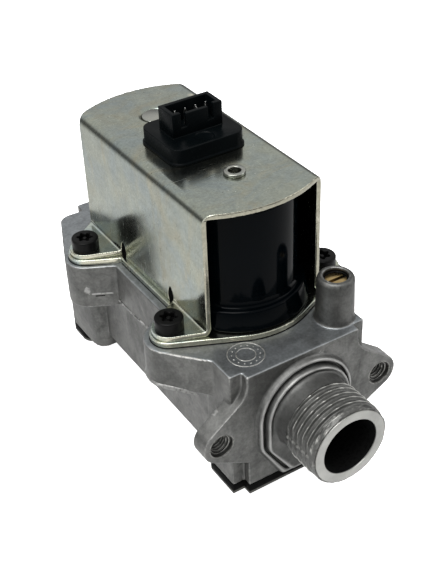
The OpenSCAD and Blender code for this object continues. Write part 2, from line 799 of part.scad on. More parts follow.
module yoke() seated() color([0.78, 0.79, 0.72]) difference() {
    union() {
        difference() {
            intersection() {
                along_y(-yoke_l, yoke_l) difference() {
                    yoke_section(0);
                    translate([0, -yoke_t]) square([yoke_w - 2 * yoke_t, 2 * yoke_t], center = true);
                    yoke_section(yoke_t);
                }
                union() {
                    slab(sheet_z, yoke_h + 1) yoke_top_plan();
                    translate([-yoke_w, -yoke_l / 2, 0]) cube([2 * yoke_w, yoke_l, yoke_h]);
                }
            }
            wall_corners();
        }
        yoke_tabs();
    }
    yoke_slits();
    at_yoke_screws() translate([0, 0, -1])
        cylinder(d = screw_d + 2 * screw_gap, h = yoke_t + 2, $fn = 36);
    translate([0, -solenoid_y, sheet_z - 1])
        cylinder(d = rivet_neck_d + 2 * fit_gap, h = yoke_t + 2, $fn = smooth);
    translate([0, solenoid_y, sheet_z - 1])
        cylinder(d = stake_d + 2 * fit_gap, h = yoke_t + 2, $fn = smooth);
    translate([0, solenoid_y, yoke_h - stake_dish])
        cylinder(d1 = stake_d + 2 * fit_gap, d2 = stake_d + 4 * stake_dish,
            h = stake_dish + eps, $fn = smooth);
    translate([-window_w / 2, -window_l / 2, sheet_z - 1]) cube([window_w, window_l, yoke_t + 2]);
}

module yoke_screws() seated() color([0.09, 0.09, 0.1]) at_yoke_screws() difference() {
    union() {
        translate([0, 0, yoke_t]) cylinder(d = screw_head_d, h = screw_head_h - 0.5, $fn = 48);
        translate([0, 0, yoke_t + screw_head_h - 0.5])
            cylinder(d1 = screw_head_d, d2 = screw_head_d - 1, h = 0.5, $fn = 48);
        translate([0, 0, yoke_t - screw_l]) cylinder(d = screw_d, h = screw_l + 1, $fn = 36);
    }
    translate([0, 0, yoke_t + screw_head_h - screw_recess_h])
        cylinder(d = screw_recess_d, h = screw_recess_h + 1, $fn = 6);
}

// Moulded coil: a drum with a wide foot, flattened where the yoke's walls pass
module coil_shell() {
    half_w = yoke_w / 2 - yoke_t - 2 * fit_gap;
    low = fit_gap;
    mouth = bobbin_r + fit_gap;
    intersection() {
        rotate_extrude($fn = 120) difference() {
            union() {
                polygon([[mouth, low], [coil_d / 2, low], [coil_d / 2, coil_top - coil_edge],
                    [coil_d / 2 - coil_edge, coil_top], [mouth, coil_top]]);
                polygon([[mouth, low], [coil_foot_d / 2, low], [coil_foot_top_d / 2, coil_foot_h - 0.7],
                    [coil_foot_top_d / 2 - 0.7, coil_foot_h], [mouth, coil_foot_h]]);
            }
            translate([mouth - 1, low + coil_wall])
                square([coil_d / 2 - coil_wall - mouth + 1, coil_top - low - 2 * coil_wall]);
        }
        translate([-half_w, -coil_foot_d, -1]) cube([2 * half_w, 2 * coil_foot_d, yoke_h]);
    }
}

module winding_ring() rotate_extrude($fn = smooth)
    translate([bobbin_r + fit_gap, winding_z + fit_gap])
        square([winding_r - bobbin_r - fit_gap, winding_top - winding_z - 2 * fit_gap]);

module bobbin_spool() rotate_extrude($fn = smooth) {
    flange_out = coil_d / 2 - coil_wall - fit_gap;
    translate([bore_r, fit_gap]) square([bobbin_wall, coil_top - fit_gap]);
    translate([bore_r, winding_z - bobbin_flange_t]) square([flange_out - bore_r, bobbin_flange_t]);
    translate([bore_r, winding_top]) square([flange_out - bore_r, bobbin_flange_t]);
}

module guide_tube() rotate_extrude($fn = smooth) {
    translate([guide_r, spring_top]) square([tube_wall, tube_top - spring_top]);
    translate([guide_r, spring_top]) square([tube_collar_d / 2 - guide_r, tube_collar_t - eps]);
}

module core_slug() translate([0, 0, core_z]) cylinder(r = core_r, h = core_l - fit_gap, $fn = smooth);

module plunger() {
    translate([0, 0, plunger_z])
        cylinder(r = plunger_r, h = plunger_top - plunger_z - plunger_edge, $fn = smooth);
    translate([0, 0, plunger_top - plunger_edge])
        cylinder(r1 = plunger_r, r2 = plunger_r - plunger_edge, h = plunger_edge, $fn = smooth);
    translate([0, 0, seat_z + 2 * fit_gap])
        cylinder(d = stem_d, h = plunger_z - seat_z - 2 * fit_gap + eps, $fn = 48);
}

module valve_disc() translate([0, 0, disc_z]) difference() {
    cylinder(d = disc_d, h = disc_t, $fn = smooth);
    translate([0, 0, -1]) cylinder(d = stem_d + 2 * running_gap, h = disc_t + 2, $fn = 48);
}

module disc_seal() translate([0, 0, seat_z]) difference() {
    cylinder(d = disc_d + 0.6, h = disc_seal_t, $fn = smooth);
    translate([0, 0, -1]) cylinder(d = stem_d + 2 * running_gap, h = disc_seal_t + 2, $fn = 48);
}

module chamber_seal() translate([0, 0, deck_z - oring_d / 2 - fit_gap / 2]) rotate_extrude($fn = smooth)
    translate([oring_r, 0]) circle(d = oring_d, $fn = 20);

// A helical spring between two heights, with its ends closed on the last half turn
function spring_height(t, low, high) =
    let (closed = 0.6 / spring_turns, s = min(max((t - closed) / (1 - 2 * closed), 0), 1))
    low + spring_wire / 2 + s * (high - low - spring_wire);

module return_spring() {
    low = plunger_z + fit_gap / 2;
    high = spring_top - fit_gap / 2;
    steps = 20 * spring_turns;
    sides = 8;
    points = [for (i = [0:steps]) let (t = i / steps, turn = 360 * spring_turns * t)
        for (k = [0:sides - 1]) let (a = 360 * k / sides, r = spring_d / 2 + spring_wire / 2 * cos(a))
            [r * cos(turn), r * sin(turn), spring_height(t, low, high) + spring_wire / 2 * sin(a)]];
    walls = [for (i = [0:steps - 1], k = [0:sides - 1]) let (n = (k + 1) % sides)
        [i * sides + k, i * sides + n, (i + 1) * sides + n, (i + 1) * sides + k]];
    first = [for (k = [0:sides - 1]) sides - 1 - k];
    last = [for (k = [0:sides - 1]) steps * sides + k];
    polyhedron(points, concat(walls, [first, last]), convexity = 6);
}

module cover_holes(size) at_cover_screws() translate([0, 0, cover_z - 1])
    cylinder(d = size, h = cover_t + gasket_t + 2, $fn = 36);

module bottom_gasket() seated() color([0.06, 0.06, 0.06]) difference() {
    slab(foot_z - gasket_t, foot_z) difference() {
        foot_plan();
        gallery_plan();
    }
    cover_holes(cover_screw_d + 2 * screw_gap);
}

module bottom_cover() seated() color([0.6, 0.61, 0.6]) difference() {
    slab(cover_z, cover_z + cover_t) foot_plan();
    cover_holes(cover_screw_d + 2 * screw_gap);
}

module cover_screws() seated() color([0.2, 0.2, 0.21]) at_cover_screws() {
    translate([0, 0, cover_z - cover_head_h]) cylinder(d = cover_head_d, h = cover_head_h, $fn = 48);
    translate([0, 0, cover_z - 1]) cylinder(d = cover_screw_d, h = cover_screw_l, $fn = 36);
}

module rounded_plan(width, length, r) {
    hull() {
        for (x = [-1, 1], y = [-1, 1])
            translate([x * (width / 2 - r), y * (length / 2 - r)]) circle(r = r, $fn = 32);
    }
}

module connector_base() seated() color([0.08, 0.08, 0.09]) difference() {
    union() {
        slab(yoke_h, yoke_h + plug_lip_h)
            rounded_plan(plug_base_w + 2 * plug_lip, plug_base_l + 2 * plug_lip, plug_base_r + plug_lip);
        slab(yoke_h, plug_z) rounded_plan(plug_base_w, plug_base_l, plug_base_r);
        translate([fit_gap - window_w / 2, fit_gap - window_l / 2, sheet_z - 1])
            cube([window_w - 2 * fit_gap, window_l - 2 * fit_gap, yoke_t + 2]);
    }
    translate([0, -plug_mark_y, plug_z - plug_mark_h]) cylinder(d = plug_mark_d, h = 1, $fn = 48);
    translate([0, shroud_y, plug_z - pin_root]) pin_row(fit_gap, pin_root + 1);
}

// The row of square pins, or with a gap the holes for them
module pin_row(gap, height) {
    for (i = [0:pin_count - 1])
        translate([(i - (pin_count - 1) / 2) * pin_pitch, 0, height / 2])
            cube([pin_w + 2 * gap, pin_w + 2 * gap, height], center = true);
}

module plug_shroud() seated() color([0.07, 0.07, 0.08]) translate([0, shroud_y, plug_z]) difference() {
    translate([-shroud_w / 2, -shroud_l / 2, 0]) cube([shroud_w, shroud_l, shroud_h]);
    translate([shroud_wall - shroud_w / 2, shroud_wall - shroud_l / 2, shroud_wall])
        cube([shroud_w - 2 * shroud_wall, shroud_l - 2 * shroud_wall, shroud_h]);
    both_sides() translate([key_x - key_w / 2, -shroud_l / 2 - 1, shroud_wall + 1])
        cube([key_w, shroud_wall + 2, shroud_h]);
    translate([-key_x, -shroud_l / 2 - 1, shroud_h - tongue_drop])
        cube([2 * key_x, shroud_wall + 2, shroud_h]);
    translate([0, 0, -1]) pin_row(fit_gap, shroud_wall + 2);
}

module plug_pins() seated() color([0.8, 0.8, 0.78])
    translate([0, shroud_y, plug_z - pin_root + fit_gap]) pin_row(0, pin_root - fit_gap + pin_h);

module test_screw() seated() color([0.75, 0.6, 0.3]) translate([test_x, test_y, 0]) difference() {
    union() {
        translate([0, 0, test_seat + test_seal_t]) cylinder(d = test_screw_d, h = test_head_h, $fn = 48);
        translate([0, 0, test_seat - test_shank_l])
            cylinder(d = test_shank_d, h = test_shank_l + test_seal_t + 1, $fn = 36);
    }
    translate([-test_screw_d, -test_slot_w / 2, test_head_top - test_slot_h])
        cube([2 * test_screw_d, test_slot_w, test_slot_h + 1]);
}

module test_seal() seated() color([0.1, 0.1, 0.1]) translate([test_x, test_y, test_seat]) difference() {
    cylinder(d = test_screw_d - 2 * fit_gap, h = test_seal_t, $fn = 48);
    translate([0, 0, -1]) cylinder(r = test_shank_d / 2 + running_gap, h = test_seal_t + 2, $fn = 36);
}

// Pressed-in strainer: a rim with crossed wires
module inlet_strainer() seated() color([0.65, 0.65, 0.62]) {
    in_r = strainer_r - strainer_rim;
    step = 2 * in_r / (strainer_wires + 1);
    difference() {
        rod_y(strainer_r, strainer_y, strainer_y + strainer_t);
        rod_y(in_r, strainer_y - 1, strainer_y + strainer_t + 1);
    }
    intersection() {
        rod_y(in_r + strainer_rim / 2, strainer_y + 0.2, strainer_y + strainer_t - 0.2);
        for (i = [1:strainer_wires]) {
            at = i * step - in_r - strainer_wire / 2;
            translate([at, 0, outlet_z - strainer_r]) cube([strainer_wire, 2 * body_rear, 2 * strainer_r]);
            translate([-strainer_r, 0, outlet_z + at]) cube([2 * strainer_r, 2 * body_rear, strainer_wire]);
        }
    }
}

module coil_front() seated() color([0.07, 0.07, 0.08]) at_front() coil_shell();
module coil_rear() seated() color([0.07, 0.07, 0.08]) at_rear() coil_shell();
module winding_front() seated() color([0.72, 0.42, 0.2]) at_front() winding_ring();
module winding_rear() seated() color([0.72, 0.42, 0.2]) at_rear() winding_ring();
module bobbin_front() seated() color([0.85, 0.83, 0.76]) at_front() bobbin_spool();
module bobbin_rear() seated() color([0.85, 0.83, 0.76]) at_rear() bobbin_spool();
module guide_tube_front() seated() color([0.75, 0.75, 0.75]) at_front() guide_tube();
module guide_tube_rear() seated() color([0.75, 0.75, 0.75]) at_rear() guide_tube();

module core_front() seated() color([0.7, 0.7, 0.68]) at_front() difference() {
    union() {
        core_slug();
        translate([0, 0, sheet_z - 1]) cylinder(d = rivet_neck_d, h = yoke_t + 1.2, $fn = 48);
        translate([0, 0, yoke_h]) cylinder(d = rivet_d, h = rivet_h, $fn = 48);
    }
    translate([0, 0, yoke_h - rivet_depth])
        cylinder(d = rivet_hole_d, h = rivet_h + rivet_depth + 1, $fn = 48);
}

module core_rear() seated() color([0.7, 0.7, 0.68]) at_rear() {
    core_slug();
    translate([0, 0, sheet_z - 1]) cylinder(d = stake_d, h = yoke_t + 0.9, $fn = 48);
}

module plunger_front() seated() color([0.6, 0.6, 0.6]) at_front() plunger();
module plunger_rear() seated() color([0.6, 0.6, 0.6]) at_rear() plunger();
module return_spring_front() seated() color([0.8, 0.8, 0.8]) at_front() return_spring();
module return_spring_rear() seated() color([0.8, 0.8, 0.8]) at_rear() return_spring();
module valve_disc_front() seated() color([0.7, 0.7, 0.7]) at_front() valve_disc();
module valve_disc_rear() seated() color([0.7, 0.7, 0.7]) at_rear() valve_disc();
module disc_seal_front() seated() color([0.1, 0.1, 0.1]) at_front() disc_seal();
module disc_seal_rear() seated() color([0.1, 0.1, 0.1]) at_rear() disc_seal();
module chamber_seal_front() seated() color([0.1, 0.1, 0.1]) at_front() chamber_seal();
module chamber_seal_rear() seated() color([0.1, 0.1, 0.1]) at_rear() chamber_seal();

body();
base_plate();
yoke();
yoke_screws();
coil_front();
coil_rear();
winding_front();
winding_rear();
bobbin_front();
bobbin_rear();
guide_tube_front();
guide_tube_rear();
core_front();
core_rear();
plunger_front();
plunger_rear();
return_spring_front();
return_spring_rear();
valve_disc_front();
valve_disc_rear();
disc_seal_front();
disc_seal_rear();
chamber_seal_front();
chamber_seal_rear();
bottom_gasket();
bottom_cover();
cover_screws();
connector_base();
plug_shroud();
plug_pins();
test_screw();
test_seal();
inlet_strainer();
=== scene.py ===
import json
import math
from math import cos, sin, tau
import bmesh
import bpy
from mathutils import Matrix, Vector, geometry, noise


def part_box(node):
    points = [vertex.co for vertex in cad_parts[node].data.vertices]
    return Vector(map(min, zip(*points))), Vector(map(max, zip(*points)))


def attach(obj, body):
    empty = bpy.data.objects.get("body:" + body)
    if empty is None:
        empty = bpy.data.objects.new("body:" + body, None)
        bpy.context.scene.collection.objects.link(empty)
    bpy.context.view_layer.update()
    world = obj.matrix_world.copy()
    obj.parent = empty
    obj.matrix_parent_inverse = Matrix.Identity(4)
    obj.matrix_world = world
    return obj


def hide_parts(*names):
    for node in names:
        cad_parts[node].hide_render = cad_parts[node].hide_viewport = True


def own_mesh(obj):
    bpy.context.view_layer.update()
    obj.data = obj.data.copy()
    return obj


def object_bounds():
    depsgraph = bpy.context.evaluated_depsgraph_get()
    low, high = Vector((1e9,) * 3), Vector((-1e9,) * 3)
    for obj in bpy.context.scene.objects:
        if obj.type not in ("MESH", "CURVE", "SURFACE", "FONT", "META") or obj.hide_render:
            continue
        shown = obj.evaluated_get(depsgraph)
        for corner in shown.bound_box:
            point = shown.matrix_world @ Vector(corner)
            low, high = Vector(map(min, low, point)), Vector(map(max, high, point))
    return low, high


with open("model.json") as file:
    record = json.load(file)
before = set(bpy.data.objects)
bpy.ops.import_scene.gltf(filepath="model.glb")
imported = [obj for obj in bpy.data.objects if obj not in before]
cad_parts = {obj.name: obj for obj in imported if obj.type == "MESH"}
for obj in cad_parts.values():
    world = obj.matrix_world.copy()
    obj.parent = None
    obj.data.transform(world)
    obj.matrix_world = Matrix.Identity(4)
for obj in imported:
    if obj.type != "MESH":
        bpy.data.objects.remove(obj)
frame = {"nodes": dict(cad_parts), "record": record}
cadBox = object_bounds()
nodes = frame["nodes"]
behaviour = frame["record"]["behaviour"]
bodyOf = {n: b for b, names in behaviour["bodies"].items() for n in names}
mm = 0.001

# Shapes are measured from the middle of the yoke in plan and the top face of the base plate
yokeLow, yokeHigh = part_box("yoke")
midY = (yokeLow[1] + yokeHigh[1]) / 2
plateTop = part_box("base_plate")[1][2]


def at(x, y, z):
    return Vector((x * mm, midY + y * mm, plateTop + z * mm))


def measured(node):  # a node's box in millimetres from the same point
    low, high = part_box(node)
    zero = at(0, 0, 0)
    return (low - zero) / mm, (high - zero) / mm


def placed(name, data):
    thing = bpy.data.objects.new(name, data)
    bpy.context.collection.objects.link(thing)
    return thing


outletZ = -16.6  # height of the outlet's axis
deckZ = -1.5  # height of the milled deck under the plate

# camera
viewPoint = {"place": (-113.96, -198.71, 154.13), "turn": (54.278, 2.050, -32.304), "lens": 67.286}
camData = bpy.data.cameras.new("camera")
camData.lens = viewPoint["lens"]
camData.sensor_width = 36
camData.clip_start = 0.01
cam = placed("camera", camData)
cam.location = at(*viewPoint["place"])
cam.rotation_euler = [math.radians(a) for a in viewPoint["turn"]]
bpy.context.scene.camera = cam
print("camera set")


# nodes that the finishes are mixed from

def added(tree, kind):
    return tree.nodes.new("ShaderNode" + kind)


def newPaint(name):
    paint = bpy.data.materials.new(name)
    paint.use_nodes = True
    tree = paint.node_tree
    return paint, tree, tree.nodes["Principled BSDF"]


def place(tree, stretch=(1, 1, 1)):
    spot = added(tree, "TexCoord").outputs["Object"]
    if stretch == (1, 1, 1):
        return spot
    mapping = added(tree, "Mapping")
    mapping.inputs["Scale"].default_value = stretch
    tree.links.new(spot, mapping.inputs["Vector"])
    return mapping.outputs["Vector"]


def clouds(tree, size, detail=4, coarse=0.55, warp=0.0, stretch=(1, 1, 1)):
    # noise whose features are about that many millimetres across
    tex = added(tree, "TexNoise")
    tex.inputs["Scale"].default_value = 1 / (size * mm)
    tex.inputs["Detail"].default_value = detail
    tex.inputs["Roughness"].default_value = coarse
    tex.inputs["Distortion"].default_value = warp
    tree.links.new(place(tree, stretch), tex.inputs["Vector"])
    return tex.outputs["Fac"]


def cells(tree, size):
    tex = added(tree, "TexVoronoi")
    tex.inputs["Scale"].default_value = 1 / (size * mm)
    tree.links.new(place(tree), tex.inputs["Vector"])
    return tex.outputs["Distance"]


def spread(tree, value, low, high, toLow=0.0, toHigh=1.0):
    ranged = added(tree, "MapRange")
    ranged.inputs["From Min"].default_value = low
    ranged.inputs["From Max"].default_value = high
    ranged.inputs["To Min"].default_value = toLow
    ranged.inputs["To Max"].default_value = toHigh
    tree.links.new(value, ranged.inputs["Value"])
    return ranged.outputs["Result"]


def combine(tree, action, *values):
    sums = added(tree, "Math")
    sums.operation = action
    for slot, value in zip(sums.inputs, values):
        if isinstance(value, (int, float)):
            slot.default_value = value
        else:
            tree.links.new(value, slot)
    return sums.outputs["Value"]


def times(tree, first, second):
    return combine(tree, "MULTIPLY", first, second)


def blendColours(tree, amount, first, second, mode="MIX"):
    mix = added(tree, "Mix")
    mix.data_type = "RGBA"
    mix.blend_type = mode
    for slot, value in zip((mix.inputs[0], mix.inputs[6], mix.inputs[7]), (amount, first, second)):
        if isinstance(value, tuple):
            slot.default_value = (*value, 1)
        elif isinstance(value, float):
            slot.default_value = value
        else:
            tree.links.new(value, slot)
    return mix.outputs[2]


def shaded(tree, tone, by):
    return blendColours(tree, 1.0, tone, by, "MULTIPLY")


def dents(tree, height, strength, depth, after=None):
    bump = added(tree, "Bump")
    bump.inputs["Strength"].default_value = strength
    bump.inputs["Distance"].default_value = depth * mm
    tree.links.new(height, bump.inputs["Height"])
    if after:
        tree.links.new(after, bump.inputs["Normal"])
    return bump.outputs["Normal"]


def surface(tree, measure):  # its normal, or how sharp its edges are
    return added(tree, "NewGeometry").outputs[measure]


def axes(tree, vector):
    parts = added(tree, "SeparateXYZ")
    tree.links.new(vector, parts.inputs[0])
    return parts.outputs


def edges(tree, low, high):  # one on sharp outer edges, nought on flats and in corners
    return spread(tree, surface(tree, "Pointiness"), low, high)


def settle(tree, shader, looks):  # each value or link goes to the shader's input of that name
    for name, value in looks.items():
        if isinstance(value, (int, float, tuple)):
            shader.inputs[name].default_value = value
        else:
            tree.links.new(value, shader.inputs[name])


castLook = {
    "blotch": 11, "grain": 0.7, "stain": 4.5, "stained": 0.74, "pores": 2.4, "drawn": 1.3, "rise": 3.0,
    "pit": 0.45, "metal": 0.9, "inCorners": (0.40, 0.49), "shadeAndDirt": 0.45, "deckBand": 0.16, "deckGloss": 0.06,
    "shadeAboveDeck": 0.76, "slope": (0.55, 0.75), "level": (0.88, 0.96), "slopeHighlightGain": 1.45,
}


def castPaint(name, dark, pale, wearAndLight, glint=(0.40, 0.56), edge=(0.52, 0.562), deck=None, shadingOnMesh=False):
    # wear with painted highlight, and dirt with painted shade, come from the mesh's own measure where it has
    # one, and else from its edges
    look = castLook
    paint, tree, shader = newPaint(name)
    broad = clouds(tree, look["blotch"], 6, 0.62, 0.7)
    grain = clouds(tree, look["grain"], 5, 0.65)
    tone = blendColours(tree, spread(tree, broad, 0.34, 0.66), dark, pale)
    stain = spread(tree, clouds(tree, look["stain"], 5, 0.6, 1.5), 0.58, 0.70, 1.0, look["stained"])
    tone = shaded(tree, tone, stain)
    shine = spread(tree, broad, 0.3, 0.7, glint[1], glint[0])
    if deck:  # the milled top, smoother and cooler, and painted shade on the nipple above it
        height = axes(tree, place(tree))["Z"]
        flat = combine(tree, "COMPARE", height, at(0, 0, deckZ).z, look["deckBand"] * mm)
        tone = shaded(tree, tone, spread(tree, height, at(0, 0, deckZ + 0.1).z, at(0, 0, deckZ + 0.5).z,
                                         1, look["shadeAboveDeck"]))
        facing = axes(tree, surface(tree, "True Normal"))["Z"]  # slopes that look up get a painted highlight
        slope = times(tree, spread(tree, facing, *look["slope"]), spread(tree, facing, *look["level"], 1, 0))
        tone = shaded(tree, tone, spread(tree, slope, 0, 1, 1, look["slopeHighlightGain"]))
        tone = blendColours(tree, flat, tone, blendColours(tree, spread(tree, broad, 0.3, 0.7), *deck))
        shine = combine(tree, "SUBTRACT", shine, times(tree, flat, look["deckGloss"]))
    for field, low, high in ((clouds(tree, look["pores"], 4, 0.6), 0.87, 1.13), (grain, 0.84, 1.12),
                             (clouds(tree, look["drawn"], 3, 0.5, 0, (1, 1, 0.12)), 0.94, 1.06)):
        tone = shaded(tree, tone, spread(tree, field, 0.34, 0.66, low, high))
    # the mesh's measure: above nought is wear and painted highlight, below nought is painted shade
    if shadingOnMesh:
        wearAndShading = added(tree, "Attribute")
        wearAndShading.attribute_name = "wearAndShading"
        rubAndGlint = times(tree, spread(tree, wearAndShading.outputs["Fac"], 0, 1), spread(tree, grain, 0.2, 0.42, 0.65))
        shadeAndDirt = spread(tree, wearAndShading.outputs["Fac"], -1, 0)
    else:
        rubAndGlint = times(tree, edges(tree, *edge), spread(tree, grain, 0.36, 0.5))
        shadeAndDirt = edges(tree, *look["inCorners"])
    # edges get a pale colour that is wear and also a painted highlight
    tone = blendColours(tree, rubAndGlint, tone, wearAndLight)
    # corners and grooves are darkened: painted shade with dirt
    tone = blendColours(tree, shadeAndDirt, tuple(c * look["shadeAndDirt"] for c in dark), tone)
    skin = dents(tree, clouds(tree, look["pit"], 4, 0.6), 0.3, 0.03)
    skin = dents(tree, clouds(tree, look["rise"], 5, 0.6, 0.3), 0.35, 0.08, skin)
    settle(tree, shader, {"Base Color": tone, "Metallic": look["metal"], "Roughness": shine, "Normal": skin})
    return paint


def turnedPaint(name, tone, centre, pitch=0.12, glint=0.3):
    # concentric tool marks round an axis along the valve
    paint, tree, shader = newPaint(name)
    shift = added(tree, "Mapping")
    shift.inputs["Location"].default_value = tuple(-c for c in centre)
    tree.links.new(place(tree), shift.inputs["Vector"])
    grooves = added(tree, "TexWave")
    grooves.wave_type = "RINGS"
    grooves.rings_direction = "Y"
    grooves.inputs["Scale"].default_value = 1 / (pitch * mm * 6.28)
    grooves.inputs["Distortion"].default_value = 1.5
    tree.links.new(shift.outputs["Vector"], grooves.inputs["Vector"])
    mottle = spread(tree, clouds(tree, 5, 4, 0.6), 0.3, 0.7, 0.82, 1.1)
    settle(tree, shader, {
        "Base Color": shaded(tree, tone, mottle), "Metallic": 1.0, "Anisotropic": 0.4,
        "Roughness": spread(tree, grooves.outputs["Fac"], 0, 1, glint, glint + 0.12),
        "Normal": dents(tree, grooves.outputs["Fac"], 0.25, 0.02)})
    return paint


zincLook = {
    "green": (0.232, 0.264, 0.252), "grey": (0.272, 0.290, 0.243), "yellow": (0.285, 0.275, 0.205),
    "cut": (0.345, 0.334, 0.265), "pit": (0.10, 0.10, 0.08), "fleck": (0.55, 0.56, 0.50),
    "wearAndLight": (0.50, 0.48, 0.40), "lowGain": 1.45, "glint": (0.155, 0.225), "scratched": 0.1,
}


def zincPaint(name):
    look = zincLook
    paint, tree, shader = newPaint(name)
    broad = clouds(tree, 20, 5, 0.62, 1.2)
    other = clouds(tree, 11, 6, 0.62, 0.9, (1, 1.6, 0.7))
    tone = blendColours(tree, spread(tree, broad, 0.40, 0.60), look["green"], look["grey"])
    tone = blendColours(tree, spread(tree, other, 0.50, 0.72), tone, look["yellow"])
    ends = combine(tree, "ABSOLUTE", axes(tree, surface(tree, "True Normal"))["Y"])  # cut ends are warmer
    tone = blendColours(tree, spread(tree, ends, 0.6, 0.8), tone, look["cut"])
    height = axes(tree, place(tree))["Z"]  # tabs and plate are brighter
    tone = shaded(tree, tone, spread(tree, height, at(0, 0, 1.6).z, at(0, 0, 3.0).z, look["lowGain"], 1))
    for field, low, high in ((clouds(tree, 2.6, 4, 0.6, 0.5), 0.90, 1.08),
                             (clouds(tree, 0.6, 5, 0.7), 0.84, 1.12)):
        tone = shaded(tree, tone, spread(tree, field, 0.34, 0.66, low, high))
    pits = spread(tree, cells(tree, 1.7), 0.05, 0.13)
    patch = spread(tree, clouds(tree, 7, 3), 0.50, 0.60)
    tone = blendColours(tree, times(tree, combine(tree, "SUBTRACT", 1.0, pits), patch), tone, look["pit"])
    flecks = combine(tree, "SUBTRACT", 1.0, spread(tree, cells(tree, 0.9), 0.06, 0.16))
    group = spread(tree, clouds(tree, 5, 3, 0.5), 0.56, 0.64)
    tone = blendColours(tree, times(tree, flecks, group), tone, look["fleck"])
    # sheet edges get a pale colour: painted highlight with wear
    rubAndGlint = times(tree, edges(tree, 0.52, 0.60), spread(tree, clouds(tree, 1.2, 3), 0.36, 0.5))
    tone = blendColours(tree, rubAndGlint, tone, look["wearAndLight"])
    scratch = spread(tree, clouds(tree, 2.2, 3, 0.5, 0.2, (0.22, 5.0, 0.9)), 0.60, 0.70)
    shine = combine(tree, "ADD", spread(tree, other, 0.3, 0.7, *look["glint"]),
                    times(tree, scratch, look["scratched"]))
    skin = dents(tree, clouds(tree, 0.5, 4, 0.6), 0.14, 0.014)
    skin = dents(tree, clouds(tree, 9, 3, 0.5), 0.1, 0.10, skin)
    settle(tree, shader, {"Base Color": tone, "Metallic": 1.0, "Roughness": shine, "Normal": skin})
    return paint


def plasticPaint(name, tone, glint, grainSize=0.5, grainDepth=0.01, wave=0.0, sheen=0.5):
    paint, tree, shader = newPaint(name)
    skin = dents(tree, clouds(tree, grainSize, 3, 0.6), 0.3, grainDepth)
    if wave:
        skin = dents(tree, clouds(tree, 14, 2), 0.3, wave, skin)
    settle(tree, shader, {
        "Base Color": shaded(tree, tone, spread(tree, clouds(tree, 8, 4), 0.3, 0.7, 0.8, 1.25)),
        "Roughness": spread(tree, clouds(tree, 5, 5, 0.6), 0.3, 0.7, *glint),
        "Specular IOR Level": sheen, "Normal": skin})
    return paint


def metalPaint(name, tone, other, glint, size=4.0, grain=0.4, metal=1.0, stretch=(1, 1, 1)):
    paint, tree, shader = newPaint(name)
    broad = clouds(tree, size, 5, 0.6, 0.4, stretch)
    settle(tree, shader, {
        "Base Color": blendColours(tree, spread(tree, broad, 0.35, 0.65), tone, other), "Metallic": metal,
        "Roughness": spread(tree, broad, 0.3, 0.7, *glint),
        "Normal": dents(tree, clouds(tree, grain, 4, 0.6, 0, stretch), 0.3, 0.015)})
    return paint


# the casting paint carries painted highlights on edges and up-facing slopes, and painted shade in corners and
# on the nipple
castGrey = castPaint("castGrey", (0.095, 0.096, 0.092), (0.150, 0.150, 0.144), (0.30, 0.30, 0.29),
                     deck=((0.195, 0.210, 0.218), (0.240, 0.252, 0.258)))
# the thread and rim paints take wear, painted highlight and painted shade from a measure stored on the mesh
threadGrey = castPaint("threadGrey", (0.085, 0.086, 0.082), (0.120, 0.120, 0.114), (0.50, 0.50, 0.47),
                       (0.38, 0.5), shadingOnMesh=True)
rimGrey = castPaint("rimGrey", (0.090, 0.091, 0.088), (0.135, 0.135, 0.130), (0.34, 0.34, 0.33), shadingOnMesh=True)
# a darker copy of the casting paint for threads inside holes: painted shade
holeShadeGrey = castPaint("holeShadeGrey", (0.07, 0.07, 0.066), (0.10, 0.10, 0.095), (0.30, 0.30, 0.28),
                    (0.34, 0.5), (0.50, 0.55))
# lighter copies of the casting paint for flash beads and lips: painted highlight
flashLitGrey = castPaint("flashLitGrey", (0.15, 0.15, 0.145), (0.30, 0.30, 0.285), (0.4, 0.4, 0.38), (0.34, 0.5))
lipLitGrey = castPaint("lipLitGrey", (0.11, 0.11, 0.106), (0.18, 0.18, 0.172), (0.30, 0.30, 0.29), (0.40, 0.54))
# near-black for bores, holes and shadow beads: painted shade
paintedShadeBlack = castPaint("paintedShadeBlack", (0.002, 0.002, 0.002), (0.004, 0.004, 0.004), (0.01, 0.01, 0.01), (0.6, 0.8))
turnedFace = turnedPaint("turnedFace", (0.36, 0.36, 0.342), at(0, 0, outletZ))
zinc = zincPaint("zincPlate")
# near-black for the inside of the slits: painted shade
slitShadeBlack = plasticPaint("slitShadeBlack", (0.001, 0.001, 0.001), (0.8, 0.95), 0.3, 0.012, 0, 0.02)
screwBlack = plasticPaint("screwBlack", (0.003, 0.003, 0.003), (0.26, 0.40), 0.3, 0.012, 0, 0.085)
coilGloss = plasticPaint("coilGloss", (0.0003, 0.0010, 0.0016), (0.08, 0.13), 0.6, 0.003, 0.02, 0.045)
plugSatin = plasticPaint("plugSatin", (0.0013, 0.0021, 0.0025), (0.22, 0.36), 0.35, 0.008, 0.01, 0.045)
rubberBlack = plasticPaint("rubberBlack", (0.001, 0.001, 0.001), (0.6, 0.75), 0.4, 0.02, 0, 0.04)
nylonWhite = plasticPaint("nylonWhite", (0.70, 0.68, 0.60), (0.4, 0.5), 0.6, 0.01)
coverSteel = metalPaint("coverSteel", (0.07, 0.07, 0.066), (0.10, 0.10, 0.09), (0.38, 0.5), 6, 0.5)
coreSteel = metalPaint("coreSteel", (0.26, 0.27, 0.25), (0.33, 0.33, 0.29), (0.2, 0.3), 3, 0.5)
springSteel = metalPaint("springSteel", (0.42, 0.42, 0.42), (0.5, 0.5, 0.5), (0.25, 0.35), 2, 0.3)
brassYellow = metalPaint("brassYellow", (0.29, 0.205, 0.09), (0.38, 0.28, 0.13), (0.25, 0.38), 2, 0.3)
copperRed = metalPaint("copperRed", (0.55, 0.22, 0.11), (0.65, 0.28, 0.15), (0.25, 0.35), 2, 0.2, 1.0,
                       (1, 1, 12))
